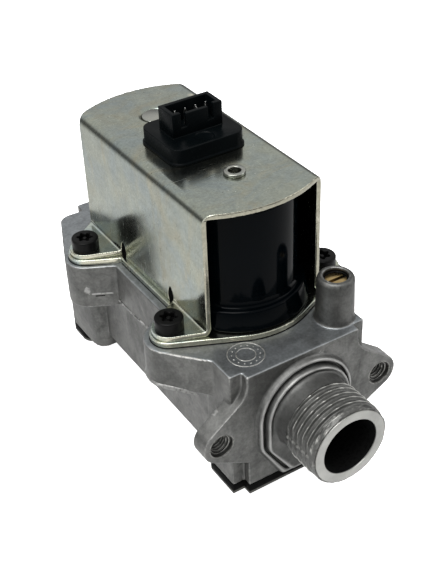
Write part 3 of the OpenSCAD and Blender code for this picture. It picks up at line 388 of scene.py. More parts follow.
pinTin = metalPaint("pinTin", (0.62, 0.62, 0.60), (0.75, 0.75, 0.72), (0.18, 0.28), 1.5, 0.2)
meshSteel = metalPaint("meshSteel", (0.45, 0.45, 0.44), (0.55, 0.55, 0.53), (0.25, 0.35), 2, 0.2)
print("finishes mixed")


# ways to make shapes, in millimetres

def angles(count):
    return [k * tau / count for k in range(count)]


def onCircle(x, y, r, a):
    return x + r * cos(a), y + r * sin(a)


def joinRings(bm, low, high):
    for i in range(len(low)):
        j = (i + 1) % len(low)
        bm.faces.new((low[i], low[j], high[j], high[i]))


def solidOf(bm, rings):  # closed at both ends
    for low, high in zip(rings, rings[1:]):
        joinRings(bm, low, high)
    bm.faces.new(rings[0])
    bm.faces.new(rings[-1])


def hoopOf(bm, rings):  # the last ring runs back into the first
    for low, high in zip(rings, rings[1:] + rings[:1]):
        joinRings(bm, low, high)


def softened(corners, closed=False, cuts=4):
    # each corner is (a, b, rounding)
    out = []
    for i, (a, b, rounding) in enumerate(corners):
        if rounding == 0 or (not closed and i in (0, len(corners) - 1)):
            out.append((a, b))
            continue
        here = Vector((a, b))
        start = here + (Vector(corners[i - 1][:2]) - here).normalized() * rounding
        end = here + (Vector(corners[(i + 1) % len(corners)][:2]) - here).normalized() * rounding
        for k in range(cuts + 1):
            t = k / cuts
            out.append(tuple(start * (1 - t) ** 2 + here * (2 * t * (1 - t)) + end * t * t))
    return out


def turned(axis, centre):
    # places points that are turned round an axis: (angle, radius, height) to a spot
    turn = Vector((0, 0, 1)).rotation_difference(Vector(axis)).to_matrix()
    return lambda a, r, h: centre + turn @ Vector((r * cos(a), r * sin(a), h)) * mm


def lathe(bm, profile, centre, axis=(0, 0, 1), steps=96):
    # a hoop from (radius, height) pairs along the axis
    spotAt = turned(axis, centre)
    hoopOf(bm, [[bm.verts.new(spotAt(a, r, h)) for a in angles(steps)] for r, h in profile])


def prism(bm, outline, low, high):
    # an outline in (x, z) between two stations along the valve
    solidOf(bm, [[bm.verts.new(at(x, y, z)) for x, z in outline] for y in (low, high)])


def bar(bm, points, sizeAt, sides=8):
    # a round bar along points, as thick as sizeAt says for each
    rings = []
    for i, spot in enumerate(points):
        ahead = (points[min(i + 1, len(points) - 1)] - points[max(i - 1, 0)]).normalized()
        across = ahead.cross(Vector((0.1, 0.2, 1))).normalized()
        up = ahead.cross(across)
        size = sizeAt(i, spot) * mm
        rings.append([bm.verts.new(spot + (across * cos(a) + up * sin(a)) * size)
                      for a in angles(sides)])
    solidOf(bm, rings)


def bead(bm, points, radius, wild=0.0, sides=8):
    bar(bm, points, lambda i, spot: radius * (1 + wild * noise.noise(spot / mm * 0.9)), sides)


def along(points, gap=0.5):  # the same line with a point every gap millimetres
    out = []
    for a, b in zip(points, points[1:]):
        count = max(1, int((b - a).length / (gap * mm)))
        out += [a.lerp(b, k / count) for k in range(count)]
    return out + [points[-1]]


def roundedPlan(halfW, halfL, radius, cuts=8, centre=(0, 0)):
    out = []
    for quarter in range(4):
        sx, sy = ((1, 1), (-1, 1), (-1, -1), (1, -1))[quarter]
        for k in range(cuts + 1):
            out.append(onCircle(centre[0] + sx * (halfW - radius), centre[1] + sy * (halfL - radius), radius,
                                (quarter + k / cuts) * math.pi / 2))
    return out


def threadTube(bm, centre, axis, near, far, crest, root, back, pitch, steps, perTurn):
    # a screw thread between two stations along its axis, closed over a plain back surface
    spotAt = turned(axis, centre)
    rows = max(2, int((far - near) / pitch * perTurn))
    rings = []
    for i in range(rows + 1):
        h = near + (far - near) * i / rows
        fade = max(0, min(1, (h - near) / (pitch * 0.6), (far - h) / (pitch * 0.6)))
        ring = []
        for k, a in enumerate(angles(steps)):
            t = (h / pitch + k / steps) % 1
            tooth = max(0, (1 - abs(2 * t - 1) - 0.22) / 0.78) ** 1.25
            ring.append(bm.verts.new(spotAt(a, root + (crest - root) * tooth * fade, h)))
        rings.append(ring)
    for level in (far, near):
        rings.append([bm.verts.new(spotAt(a, back, level)) for a in angles(steps)])
    hoopOf(bm, rings)


def cutOff(bm, spot, facing):  # everything beyond a plane goes, and the cut is closed
    cut = bmesh.ops.bisect_plane(bm, geom=bm.verts[:] + bm.edges[:] + bm.faces[:], plane_co=spot,
                                 plane_no=facing, clear_outer=True)
    rim = [e for e in cut["geom_cut"] if isinstance(e, bmesh.types.BMEdge)]
    bmesh.ops.triangle_fill(bm, use_beauty=True, use_dissolve=False, edges=rim)


def plainMesh(bm, name):
    mesh = bpy.data.meshes.new(name)
    bm.to_mesh(mesh)
    bm.free()
    mesh.materials.clear()
    return mesh


def smooth(mesh):
    mesh.polygons.foreach_set("use_smooth", [True] * len(mesh.polygons))


def toMesh(bm, name, sharp=38):
    bmesh.ops.recalc_face_normals(bm, faces=bm.faces)
    mesh = plainMesh(bm, name)
    smooth(mesh)
    mesh.set_sharp_from_angle(angle=math.radians(sharp))
    return mesh


def addPiece(name, mesh, paints, node="body"):
    for paint in paints:
        mesh.materials.append(paint)
    piece = placed(name, mesh)
    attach(piece, bodyOf[node])
    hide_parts(node)
    return piece


def addMade(name, bm, paint, node="body", sharp=38):
    return addPiece(name, toMesh(bm, name, sharp), [paint], node)


def shaped(mesh, name, *modifiers):
    # the mesh with those modifiers applied
    holder = placed("holder", mesh)
    for kind, settings in modifiers:
        modifier = holder.modifiers.new(kind, kind)
        for key, value in settings.items():
            setattr(modifier, key, value)
    seen = holder.evaluated_get(bpy.context.evaluated_depsgraph_get())
    made = bpy.data.meshes.new_from_object(seen)
    made.name = name
    bpy.data.objects.remove(holder)
    return made


def nodeShape(node):
    bm = bmesh.new()
    bm.from_mesh(nodes[node].data)
    bmesh.ops.remove_doubles(bm, verts=bm.verts, dist=1e-6)
    return bm


def skinned(mesh, name, voxel, smoothing, faces, skin=None, depth=0.0):
    # one closed skin over all of the mesh, with softened edges and that many faces or fewer
    mesh = shaped(mesh, name, ("REMESH", {"mode": "VOXEL", "voxel_size": voxel * 1 * mm}))
    share = min(1, faces / (2 * len(mesh.polygons)))
    steps = [("SMOOTH", {"factor": 0.5, "iterations": smoothing})]
    if skin:
        steps.append(("DISPLACE", {"texture": skin, "strength": depth * mm, "mid_level": 0.5,
                                   "texture_coords": "GLOBAL"}))
    mesh = shaped(mesh, name, *steps, ("DECIMATE", {"ratio": share}))
    smooth(mesh)
    return mesh


def sheetPiece(name, node, faces, cutter=None):
    mesh = plainMesh(nodeShape(node), name)
    if cutter:
        tool = placed("cutter", cutter)
        mesh = shaped(mesh, name, ("BOOLEAN", {"object": tool, "operation": "DIFFERENCE", "solver": "EXACT"}))
        bpy.data.objects.remove(tool)
        mesh.materials.clear()
    mesh = skinned(mesh, name, 0.2, 2, faces)
    print(name, len(mesh.polygons))
    return addPiece(name, mesh, [zinc], node)


def bevelled(name, node, width, paint, cuts=2, drawnIn=(0, 0)):
    # a node's own shape with its edges broken, and its straight sides drawn in where that is asked
    bm = nodeShape(node)
    for v in bm.verts:
        if drawnIn[1] and abs(abs(v.co.x) - drawnIn[0] * mm) < 0.05 * mm:
            v.co.x -= math.copysign(drawnIn[1] * mm, v.co.x)
    bmesh.ops.dissolve_limit(bm, angle_limit=math.radians(0.6), verts=bm.verts, edges=bm.edges)
    bmesh.ops.recalc_face_normals(bm, faces=bm.faces)
    mesh = shaped(plainMesh(bm, name), name,
                  ("BEVEL", {"width": width * mm, "segments": cuts, "limit_method": "ANGLE",
                             "angle_limit": math.radians(35)}))
    smooth(mesh)
    mesh.set_sharp_from_angle(angle=math.radians(48))
    return addPiece(name, mesh, [paint], node)


# cast body

casting = {
    "voxel": 0.25, "smoothing": 3, "faces": 190000, "skinSize": 1.6, "skinDepth": 0.07,
    "face": -45.5, "wall": 18.9, "foot": 15.4, "screws": ((22.0, -22.5), (22.7, 19.2)),
    "ears": (22.9, -18.3), "earHole": 2.1, "earThread": 2.52, "earSeat": 3.0,
    "inletHole": 9.316, "inletThread": 10.5, "inletFloor": 32.5,
    "nipple": (14.0, -38.3), "nippleHole": 2.75, "nippleThread": 3.02,
    "nippleRoot": ((3.4, -2.2), (5.1, -2.2), (5.05, -1.5), (4.86, -1.2), (4.74, -0.6), (4.66, 1.0), (4.52, 8.0),
                   (3.4, 8.0)),
    "boss": 6.3, "bossRun": (-36, -12), "bossZ": -12.0,
    "corner": ((15.7, -3.8), (15.7, -7.1), (18.6, -9.25)), "cornerIn": 15.0, "cornerLow": -11,
    "cornerBack": -43.0,
}


def widen(bm, spotOf, centre, old, new, keep):
    for vert in bm.verts:
        spot = (vert.co - at(0, 0, 0)) / mm
        a, b = spotOf(spot)
        away = math.hypot(a - centre[0], b - centre[1])
        if abs(away - old) < 0.04 and keep(spot):
            moved = [centre[0] + (a - centre[0]) * new / away, centre[1] + (b - centre[1]) * new / away]
            if spotOf is plan:
                vert.co = at(moved[0], moved[1], spot.z)
            else:
                vert.co = at(moved[0], spot.y, moved[1])


def plan(spot):
    return spot.x, spot.y


def front(spot):
    return spot.x, spot.z


def hullLine(points):
    return [points[i] for i in geometry.convex_hull_2d([Vector(p) for p in points])]


def bossLine(side):
    # the outer line of a front screw boss, from the side wall round and back to it
    x, y = casting["screws"][0]
    wall = casting["wall"]
    ring = [onCircle(x, y, casting["boss"], a) for a in angles(48)]
    line = hullLine(ring + [(w, end) for end in casting["bossRun"] for w in (wall - 1, wall)])
    line = [p for p in line if p[0] > wall - 0.01]
    line.sort(key=lambda p: math.atan2(p[1] - y, p[0] - x + 4))
    return [(side * a, b) for a, b in line]


def buildCasting():
    bm = nodeShape("body")
    cutOff(bm, at(0, casting["face"] - 0.1, 0), (0, -1, 0))  # the outlet is added below
    earX, earZ = casting["ears"]
    for side in (-1, 1):
        widen(bm, front, (side * earX, earZ), casting["earHole"], casting["earThread"], lambda s: s.y < -38)
        widen(bm, front, (side * earX, earZ), casting["earSeat"], casting["earSeat"] + 0.2, lambda s: s.y < -43)
    widen(bm, front, (0, outletZ), casting["inletHole"], casting["inletThread"] + 0.05,
          lambda s: s.y > casting["inletFloor"] - 0.1)
    widen(bm, plan, casting["nipple"], casting["nippleHole"], casting["nippleThread"], lambda s: s.z > 4)

    lathe(bm, casting["nippleRoot"], at(*casting["nipple"], 0), steps=72)
    start, bend, end = (Vector(p) for p in casting["corner"])
    curve = [tuple(start.lerp(bend, t).lerp(bend.lerp(end, t), t)) for t in (k / 8 for k in range(9))]
    inner = casting["cornerIn"]
    for side in (-1, 1):  # rounded corners between the front face and the flange's slopes
        outline = [(inner, start.y), *curve, (inner, casting["cornerLow"])]
        prism(bm, [(side * x, z) for x, z in outline], casting["face"], casting["cornerBack"])
    return bm


def castMesh():
    skin = bpy.data.textures.new("castSkin", "CLOUDS")
    skin.noise_scale = casting["skinSize"] * mm
    skin.noise_depth = 3
    cast = skinned(plainMesh(buildCasting(), "castBody"), "castBody", casting["voxel"], casting["smoothing"],
                   casting["faces"], skin, casting["skinDepth"])
    low, high = cadBox
    for vert in cast.vertices:  # the rough skin stays within the valve's own size
        vert.co = [min(max(c, a), b) for c, a, b in zip(vert.co, low, high)]
    return cast


body = castMesh()
print("cast body", len(body.polygons))
addPiece("castBody", body, [castGrey])


# flash, lips and seams: beads painted lighter than the casting as highlights, or dark as shadow

def roughBead(bm, points, radius, seed, broken):
    # a thin bead that swells and sinks away at random
    spots = along(points, 0.25)

    def sizeAt(i, spot):
        swell = noise.noise(spot / mm * 0.8 + Vector((seed, 0, 0))) + 0.5 * noise.noise(spot / mm * 2.7)
        taper = min(1, (i + 1) / 7, (len(spots) - i) / 7)
        return radius * taper * max(0.05, min(1.25, 1 - broken + 1.6 * swell))

    bar(bm, spots, sizeAt, 6)


flash = {"inwards": 0.998, "sunk": 0.14, "end": -23, "size": 0.24}
mark = {"at": (-11.2, -38.3), "rings": (4.3, 2.3), "line": 0.15, "sunk": 0.03, "dots": 14, "dotsAt": 3.3,
        "dot": 0.24, "dotSunk": 0.1}
bm = bmesh.new()
for side in (-1, 1):
    edge = [at(x * flash["inwards"], y, deckZ - flash["sunk"]) for x, y in bossLine(side) if y < flash["end"]]
    roughBead(bm, edge, flash["size"], side + 5, 0.2)
for reach in mark["rings"]:  # a plain ring with dots
    bead(bm, [at(*onCircle(*mark["at"], reach, a), deckZ - mark["sunk"])
              for a in (k * tau / 72 for k in range(73))], mark["line"], 0.2)
for a in angles(mark["dots"]):
    spot = at(*onCircle(*mark["at"], mark["dotsAt"], a), deckZ - mark["dotSunk"])
    bmesh.ops.create_icosphere(bm, subdivisions=1, radius=mark["dot"] * mm, matrix=Matrix.Translation(spot))
# flash and mark beads in the lighter paint: painted highlight
addMade("castFlash", bm, flashLitGrey)

# a front lip is three rods of (share of the fall, size) along its boss, thin and lower towards the front
ledges = {
    "run": (-32.6, -18), "rods": ((0, 0.6), (0.5, 0.55), (1, 0.5)), "fadeIn": 5, "bend": -21, "lift": 0.3,
    "fall": 0.008, "lean": 0.04, "wild": 0.15,
    "rear": ((24.95, 13.85, -9.85), (23.2, 12.95, -9.8), (20.0, 11.25, -9.85)), "rearSize": 0.26,
    "pressFrom": 27.9, "press": 0.6,
}


def lip(bm, side, share, size):
    edge = along([at(x, y, casting["bossZ"]) for x, y in bossLine(side)])
    near, far = (at(0, y, 0).y for y in ledges["run"])
    edge = [spot for spot in edge if near < spot.y < far]
    ahead = (edge[-1] - edge[0]).normalized()
    sideways = Vector((ahead.y, -ahead.x, 0)).normalized()
    full = ledges["fadeIn"] * mm
    rings = []
    for spot in edge:
        run = max(0, (at(0, ledges["bend"], 0).y - spot.y) / mm)
        faded = min(spot.y - min(edge[0].y, edge[-1].y), full) / full
        rise = ledges["lift"] - share * ledges["fall"] * run ** 2
        centre = spot + Vector((-side * ledges["lean"] * run * mm, 0, rise * mm))
        radius = size * (0.15 + 0.85 * faded ** 0.5) * (1 + ledges["wild"] * noise.noise(spot / mm * 0.9)) * mm
        rings.append([bm.verts.new(centre + (sideways * cos(a) + Vector((0, 0, 1)) * sin(a)) * radius)
                      for a in angles(10)])
    solidOf(bm, rings)


bm = bmesh.new()
for side in (-1, 1):  # a thick lip under each front boss, and a ledge on each rear boss
    for rod in ledges["rods"]:
        lip(bm, side, *rod)
    bead(bm, along([at(side * x, y, z) for x, y, z in ledges["rear"]]), ledges["rearSize"])
for vert in bm.verts:  # the lips' outermost part is pressed in, so that the valve gets no wider
    past = abs(vert.co.x) - ledges["pressFrom"] * mm
    if past > 0:
        vert.co.x = math.copysign(ledges["pressFrom"] * mm + past * ledges["press"], vert.co.x)
# the lips are in the lighter paint: painted highlight
addMade("bossLedges", bm, lipLitGrey)

# the rough line between the bosses, as strands of (height, size, seed)
wallLine = {"strands": ((0.1, 0.36, 3), (-0.45, 0.24, 7)), "sunk": 0.12, "start": -14, "gap": 0.6, "count": 44,
            "slope": 0.06, "wild": 0.35}
bm = bmesh.new()
for side in (-1, 1):
    for level, size, seed in wallLine["strands"]:
        line = []
        for y in (wallLine["start"] + wallLine["gap"] * k for k in range(wallLine["count"])):
            wave = wallLine["wild"] * noise.noise(Vector((y * 0.5, seed, side)))
            line.append(at(side * (casting["wall"] - wallLine["sunk"]), y,
                           casting["bossZ"] + level - wallLine["slope"] * y + wave))
        roughBead(bm, line, size, side * 3 + seed, 0.15)
# the wall lines are in the lighter paint: painted highlight
addMade("wallFlash", bm, lipLitGrey)

# painted shadow: dark beads for the slots under the ledges and for the seam under the plate
seamShadow = {"size": 0.11, "lift": 0.05, "side": 17.02, "sideRun": (-13.5, 10.5), "nose": 20.03, "noseAt": 16.2,
        "tab": 4.83, "back": 17.0, "backAt": 8.1,
        "slot": ((24.1, 13.42, -10.5), (21.9, 12.26, -10.5)), "slotSize": 0.2}
bm = bmesh.new()
for side in (-1, 1):
    bead(bm, along([at(side * seamShadow["side"], y, deckZ + seamShadow["lift"]) for y in seamShadow["sideRun"]]), seamShadow["size"])
    bead(bm, along([at(side * x, y, z) for x, y, z in seamShadow["slot"]]), seamShadow["slotSize"])
for screwX, screwY in casting["screws"]:
    end, reach = math.copysign(1, screwY), abs(screwY)
    nose = [(seamShadow["nose"] * sin(a), seamShadow["noseAt"] + seamShadow["nose"] * cos(a))
            for a in (k * 0.04 - 1 for k in range(51))]
    tabs = [onCircle(side * screwX, reach, seamShadow["tab"], a) for side in (-1, 1) for a in angles(48)]
    back = reach - seamShadow["backAt"]
    outline = hullLine(nose + tabs + [(seamShadow["back"], back), (-seamShadow["back"], back)])
    turn = [k for k, (x, y) in enumerate(outline) if abs(y - back) < 0.01 and x > 0][0]
    outline = outline[turn:] + outline[:turn]
    bead(bm, along([at(x, end * y, deckZ + seamShadow["lift"]) for x, y in outline]), seamShadow["size"])
addMade("ledgeShadows", bm, paintedShadeBlack)


# raised rims round the outlet, and its neck

rims = {"arch": 13.3, "side": 7.4, "foot": 7.0, "low": -34.9, "neck": 9.95}


def rimLine(inset):
    # the rims' closed outline at that distance inside the outer one
    arch, foot = rims["arch"] - inset, max(rims["foot"] - inset, 1)
    low = max(rims["low"] + inset, rims["low"] + 0.05)
    corner = outletZ - rims["side"]
    left = softened([(foot, low, 0), (-foot, low, 0.6), (-arch, corner, 1.6), (-arch, outletZ - 1, 0)], cuts=5)
    over = [(-arch * cos(a), outletZ + arch * sin(a)) for a in (k * math.pi / 72 for k in range(73))]
    right = softened([(arch, outletZ - 1, 0), (arch, corner, 1.6), (foot, low, 0.6), (-foot, low, 0)], cuts=5)
    return left[1:] + over + right[:-1]


bm = bmesh.new()
face = casting["face"]
# each step is (distance inwards, height over the face, wear, which above nought is also a painted highlight and
# below nought a painted shade)
profile = [(-0.7, 0.10, 0), (-0.4, -0.04, -0.3), (-0.14, -0.3, -0.2), (0.0, -0.75, 0), (0.12, -1.12, 0.15),
           (0.34, -1.4, 0.8), (0.6, -1.5, 0.95), (0.85, -1.42, 0.5), (1.04, -1.15, -0.1), (1.12, -0.85, -0.45),
           (1.2, -0.62, -0.6), (1.4, -0.62, -0.6), (1.52, -0.8, -0.5), (1.58, -1.4, -0.3), (1.64, -2.2, 0.1),
           (1.74, -2.55, 0.5), (1.9, -2.76, 0.9), (2.08, -2.8, 0.9), (2.3, -2.7, 0.2), (2.55, -2.62, -0.1),
           (2.8, -2.62, -0.25)]
loops = []
wearAndLight = []
for inset, out, wearAndShading in profile:
    line = rimLine(inset)
    ripple = [0.05 * noise.noise(Vector((x * 0.5, z * 0.5, inset))) for x, z in line]
    loops.append([bm.verts.new(at(x, face + out + wave, z)) for (x, z), wave in zip(line, ripple)])
    wearAndLight += [wearAndShading * (1 + 0.6 * noise.noise(Vector((x * 0.4, z * 0.4, 0)))) for x, z in line]
for low, high in zip(loops, loops[1:]):
    joinRings(bm, low, high)
turns = [math.atan2(z - outletZ, x) for x, z in rimLine(profile[-1][0])]
neck = [(10.42, -2.64, -0.3), (10.2, -2.9, -0.4), (10.04, -3.4, -0.3), (rims["neck"], -4.2, -0.2),
        (rims["neck"], -6.9, -0.3), (8.0, -6.9, 0), (8.0, 0.1, 0)]  # (radius, height over the face, wear value, below nought for painted shade)
for r, out, wearAndShading in neck:
    ring = [bm.verts.new(at(r * cos(a), face + out, outletZ + r * sin(a))) for a in turns]
    wearAndLight += [wearAndShading] * len(turns)
    joinRings(bm, loops[-1], ring)
    loops.append(ring)
rimMesh = toMesh(bm, "outletRims", 60)
rimMesh.attributes.new("wearAndShading", "FLOAT", "POINT").data.foreach_set("value", wearAndLight)
addPiece("outletRims", rimMesh, [rimGrey])


# outlet thread with its turned end

outlet = {"crest": 10.4775, "root": 9.75, "pitch": 1.814, "bore": 7.34, "face": 9.70, "end": 63.34,
          "endIn": 0.28, "start": 51.8, "flat": 9.72, "runOut": 61.3, "plain": 10.22, "sharpness": 0.52,
          "rows": 18}


def outletSkin(a, h, t):
    # radius and wear of the thread's skin, with painted highlight on the crests and painted shade where the
    # value is below nought: flats along both sides and a chipped rim where it runs out
    root, crest = outlet["root"], outlet["crest"]
    chip = noise.noise(Vector((cos(a) * 5, sin(a) * 5, h * 1.3)))
    fine = noise.noise(Vector((cos(a) * 16, sin(a) * 16, h * 3.1)))
    if h > outlet["runOut"]:
        out = (h - outlet["runOut"]) / (outlet["end"] - outlet["runOut"])
        wearAndShading = 0.5 * max(0, chip * 1.6 + fine - 0.25) - 0.25 * max(0, -chip)
        return min(outlet["plain"] + 0.16 * chip + 0.1 * fine - 0.22 * out ** 2, crest), wearAndShading
    tooth = max(0, (1 - abs(2 * t - 1) - outlet["sharpness"]) / (1 - outlet["sharpness"])) ** 1.2
    fade = min(1, max(0, (h - outlet["start"] - 0.2) / 1.0))
    r = root + (crest - root) * tooth * fade + 0.015 * chip
    wearAndShading = max(0, (tooth * fade - 0.66) / 0.26) - 0.12
    limit = outlet["flat"] / max(abs(cos(a)), 0.2) + 0.08 * fine
    if abs(sin(a)) < 0.03:  # the mould's parting line stands out on both flats
        limit += 0.28
        wearAndShading = 0.2
    if r > limit:
        wearAndShading = max(0, 0.6 - (r - limit) * 2.5) * tooth
        r = limit
    return min(r, crest), min(wearAndShading, 1)


bm = bmesh.new()
steps = 216
wearAndLight = []
rings = []
far = outlet["end"] - outlet["endIn"]
count = int((far - outlet["start"]) / outlet["pitch"] * outlet["rows"])
for i in range(count + 1):
    h = outlet["start"] + (far - outlet["start"]) * i / count
    ring = []
    for k, a in enumerate(angles(steps)):
        r, wearAndShading = outletSkin(a, h, (h / outlet["pitch"] + k / steps) % 1)
        ring.append(bm.verts.new(at(r * cos(a), -h, outletZ + r * sin(a))))
        wearAndLight.append(wearAndShading)
    rings.append(ring)
for h in (far, outlet["start"]):
    rings.append([bm.verts.new(at(outlet["bore"] * cos(a), -h, outletZ + outlet["bore"] * sin(a)))
                  for a in angles(steps)])
hoopOf(bm, rings)
thread = toMesh(bm, "outletThread", 60)
wearAndLight += [0] * (len(thread.vertices) - len(wearAndLight))
thread.attributes.new("wearAndShading", "FLOAT", "POINT").data.foreach_set("value", wearAndLight)
axisSpot = at(0, 0, outletZ)
for side in thread.polygons:  # the bore is painted near-black: painted shade
    if math.hypot(side.center.x - axisSpot.x, side.center.z - axisSpot.z) < (outlet["bore"] + 0.05) * mm:
        side.material_index = 1
addPiece("outletThread", thread, [threadGrey, paintedShadeBlack])

bm = bmesh.new()
bore, end = outlet["bore"] - 0.01, outlet["end"]
turnedEnd = [(bore, 62.98, 0), (bore, end, 0.25), (outlet["face"], end, 0.08), (outlet["face"] + 0.02, 62.9, 0),
             (8.0, 62.9, 0)]
lathe(bm, softened(turnedEnd, True), at(0, 0, outletZ), (0, -1, 0), 144)
addMade("outletFace", bm, turnedFace)

# threads in the ears, the test nipple and the inlet: stations, crest, root, back, pitch, steps and rows a turn
threads = {
    "ear": (39.2, 44.5, 2.1, 2.5, 2.62, 0.8, 48, 10),
    "nipple": (6.2, 9.9, 2.72, 3.0, 3.12, 0.75, 64, 10),
    "inlet": (32.6, 43.0, 9.33, 10.45, 10.7, 1.814, 96, 12),
}
earSeat = softened([(3.3, 45.40, 0), (3.12, 45.49, 0.1), (2.96, 45.30, 0.1), (2.94, 44.32, 0.06),
                    (2.5, 44.30, 0.05), (2.5, 44.1, 0), (3.3, 44.1, 0)], True)
bm = bmesh.new()
earX, earZ = casting["ears"]
for side in (-1, 1):
    spot = at(side * earX, 0, earZ)
    threadTube(bm, spot, (0, -1, 0), *threads["ear"])
    lathe(bm, earSeat, spot, (0, -1, 0), 72)
# ear threads in the darker paint: painted shade in the holes
addMade("earThreads", bm, holeShadeGrey, sharp=60)

bm = bmesh.new()
threadTube(bm, at(*casting["nipple"], 0), (0, 0, 1), *threads["nipple"])
# the nipple thread is near-black: painted shade in the hole
addMade("nippleThread", bm, paintedShadeBlack, sharp=60)

bm = bmesh.new()
threadTube(bm, at(0, 0, outletZ), (0, 1, 0), *threads["inlet"])
# inlet thread in the darker paint: painted shade in the hole
addMade("inletThread", bm, holeShadeGrey, sharp=60)
print("threads cut")


# plate and yoke

slit = {"wide": 2.5, "high": 2.9, "middle": 1.75, "low": 0.04, "stations": (-13.0, 10.9), "inside": 14.4,
        "outside": 15.94, "clear": 0.02, "cutFrom": 14.2, "cutTo": 16.4}


def slitLenses(bm, near, far, clear):
    # the pointed slits beside the tabs, as solids from one distance beside the middle to the other
    reach = (slit["high"] ** 2 + slit["wide"] ** 2 / 4) / slit["wide"]
    levels = [slit["high"] * (k / 12 - 1) for k in range(25)]
    halves = [math.sqrt(reach ** 2 - z * z) - reach + slit["wide"] / 2 - clear for z in levels]
    for side in (-1, 1):
        for station in slit["stations"]:
            edge = [(max(half, 0.01), max(z + slit["middle"], slit["low"] + clear))
                    for half, z in zip(halves, levels)]
            lens = [(station + half, z) for half, z in edge] + [(station - half, z) for half, z in edge[::-1]]
            solidOf(bm, [[bm.verts.new(at(side * x, y, z)) for y, z in lens] for x in (near, far)])


sheetPiece("basePlate", "base_plate", 60000)
bm = bmesh.new()
slitLenses(bm, slit["cutFrom"], slit["cutTo"], 0)
sheetPiece("yokeSheet", "yoke", 120000, toMesh(bm, "slitCutter"))
# dark lens solids inside the slits stand for the dark seen through them: painted shade
bm = bmesh.new()
slitLenses(bm, slit["inside"], slit["outside"], slit["clear"])
addMade("slitShades", bm, slitShadeBlack, "yoke")
print("sheet metal")


# screws

screwShape = {"head": 3.5, "height": 3.0, "edge": 0.55, "star": 1.95, "starIn": 1.42, "deep": 1.5,
              "pin": 0.55, "pinTop": 1.25, "shank": 2.0, "length": 11.0, "twists": (0.35, 0.1, 0.5, 0.9)}
screwThread = {"step": 0.35, "groove": 0.28, "tip": 0.5}


def starScrew(bm, seat, up, shape, turn):
    # a cylinder head with a six-lobed recess round a centre pin, and its threaded shank
    flip = Matrix.Identity(3) if up > 0 else Matrix.Rotation(math.pi, 3, "X")

    def ring(radiusAt, height):
        spots = (Vector((radiusAt(a) * cos(a), radiusAt(a) * sin(a), height)) for a in angles(72))
        return [bm.verts.new(seat + flip @ spot * mm) for spot in spots]

    def lobes(a, grow):
        wave = cos(6 * (a - turn))
        share = 0.5 + 0.5 * max(-1, min(1, wave * 1.25))
        return shape["starIn"] + (shape["star"] - shape["starIn"]) * share + grow

    top, star = shape["height"], shape["star"]
    head, shank = shape["head"], shape["shank"]
    rings = []
    for k in range(int(shape["length"] / screwThread["step"])):
        size = shank - (screwThread["groove"] if k % 2 else 0) - (0 if k else screwThread["tip"])
        rings.append(ring(lambda a: size, -shape["length"] + k * screwThread["step"]))
    rings.append(ring(lambda a: shank, 0))
    side = [(shank, 0, 0), (head - 0.05, 0, 0.15), (head, top, shape["edge"]), (star, top, 0)]
    for r, h in softened(side, cuts=6):
        rings.append(ring(lambda a: r, h))
    for grow, drop in ((0.22, 0), (0.04, 0.16), (0, 0.3), (0, shape["deep"])):
        rings.append(ring(lambda a: lobes(a, grow), top - drop))
    pin, pinTop = shape["pin"], top - shape["deep"] + shape["pinTop"]
    for r, h in ((pin + 0.1, top - shape["deep"]), (pin, pinTop - 0.15), (pin - 0.15, pinTop)):
        rings.append(ring(lambda a: r, h))
    solidOf(bm, rings)


seat = measured("yoke_screws")[1].z - screwShape["height"]
bm = bmesh.new()
spots = [(side * x, y) for x, y in casting["screws"] for side in (-1, 1)]
for (x, y), twist in zip(spots, screwShape["twists"]):
    starScrew(bm, at(x, y, seat), 1, screwShape, twist)
addMade("yokeScrews", bm, screwBlack, "yoke_screws", 40)

coverScrew = {"head": 3.2, "height": 2.0, "edge": 0.5, "star": 1.75, "starIn": 1.28, "deep": 1.2,
              "pin": 0.4, "pinTop": 0.0, "shank": 1.75, "length": 8.0, "spots": ((12.0, -38.9), (16.4, 34.6))}
seat = measured("cover_screws")[0].z + coverScrew["height"]
bm = bmesh.new()
for side in (-1, 1):
    for x, y in coverScrew["spots"]:
        starScrew(bm, at(side * x, y, seat), -1, coverScrew, 0.3 * side)
addMade("coverScrews", bm, coverSteel, "cover_screws", 40)
print("screws")


# solenoids

coilShape = {"r": 14.45, "footR": 17.3, "footTopR": 16.2, "footH": 5.2, "bore": 6.5, "wall": 2.0}


ends = {"Front": "_front", "Rear": "_rear"}


def addCoil(name, node):
    low, high = measured(node)
    bottom, top = low.z, high.z
    r, wall, bore = coilShape["r"], coilShape["wall"], coilShape["bore"]
    foot, footTopR, footTop = coilShape["footR"], coilShape["footTopR"], bottom + coilShape["footH"]
    inner = high.x - wall
    bm = bmesh.new()
    lathe(bm, softened([
        (bore, bottom, 0), (foot - 0.15, bottom, 0.15), (foot, bottom + 0.3, 0.2),
        (footTopR + 0.05, footTop - 0.35, 0.3), (footTopR - 0.45, footTop - 0.05, 0.25),
        (r + 0.75, footTop - 0.05, 0.3), (r + 0.3, footTop + 0.25, 0.3), (r, footTop + 1.2, 0.5),
        (r, top - 0.8, 0.5), (r - 0.8, top, 0.4), (bore, top, 0), (bore, top - wall, 0), (inner, top - wall, 0),
        (inner, bottom + wall, 0), (bore, bottom + wall, 0)], True), at(0, (low.y + high.y) / 2, 0), steps=144)
    for side in (-1, 1):  # the foot is cut flat where the yoke's walls stand
        cutOff(bm, at(side * high.x, 0, 0), (side, 0, 0))
    addMade(name, bm, coilGloss, node, 50)


for end in ends:
    addCoil("coil" + end, "coil" + ends[end])
for end in ends:
    bevelled("core" + end, "core" + ends[end], 0.16, coreSteel, 3)
print("solenoids")


# connector

for part, name, width in (("connector_base", "plugBase", 0.28), ("plug_shroud", "plugShroud", 0.14)):
    bevelled(name, part, width, plugSatin, 3)

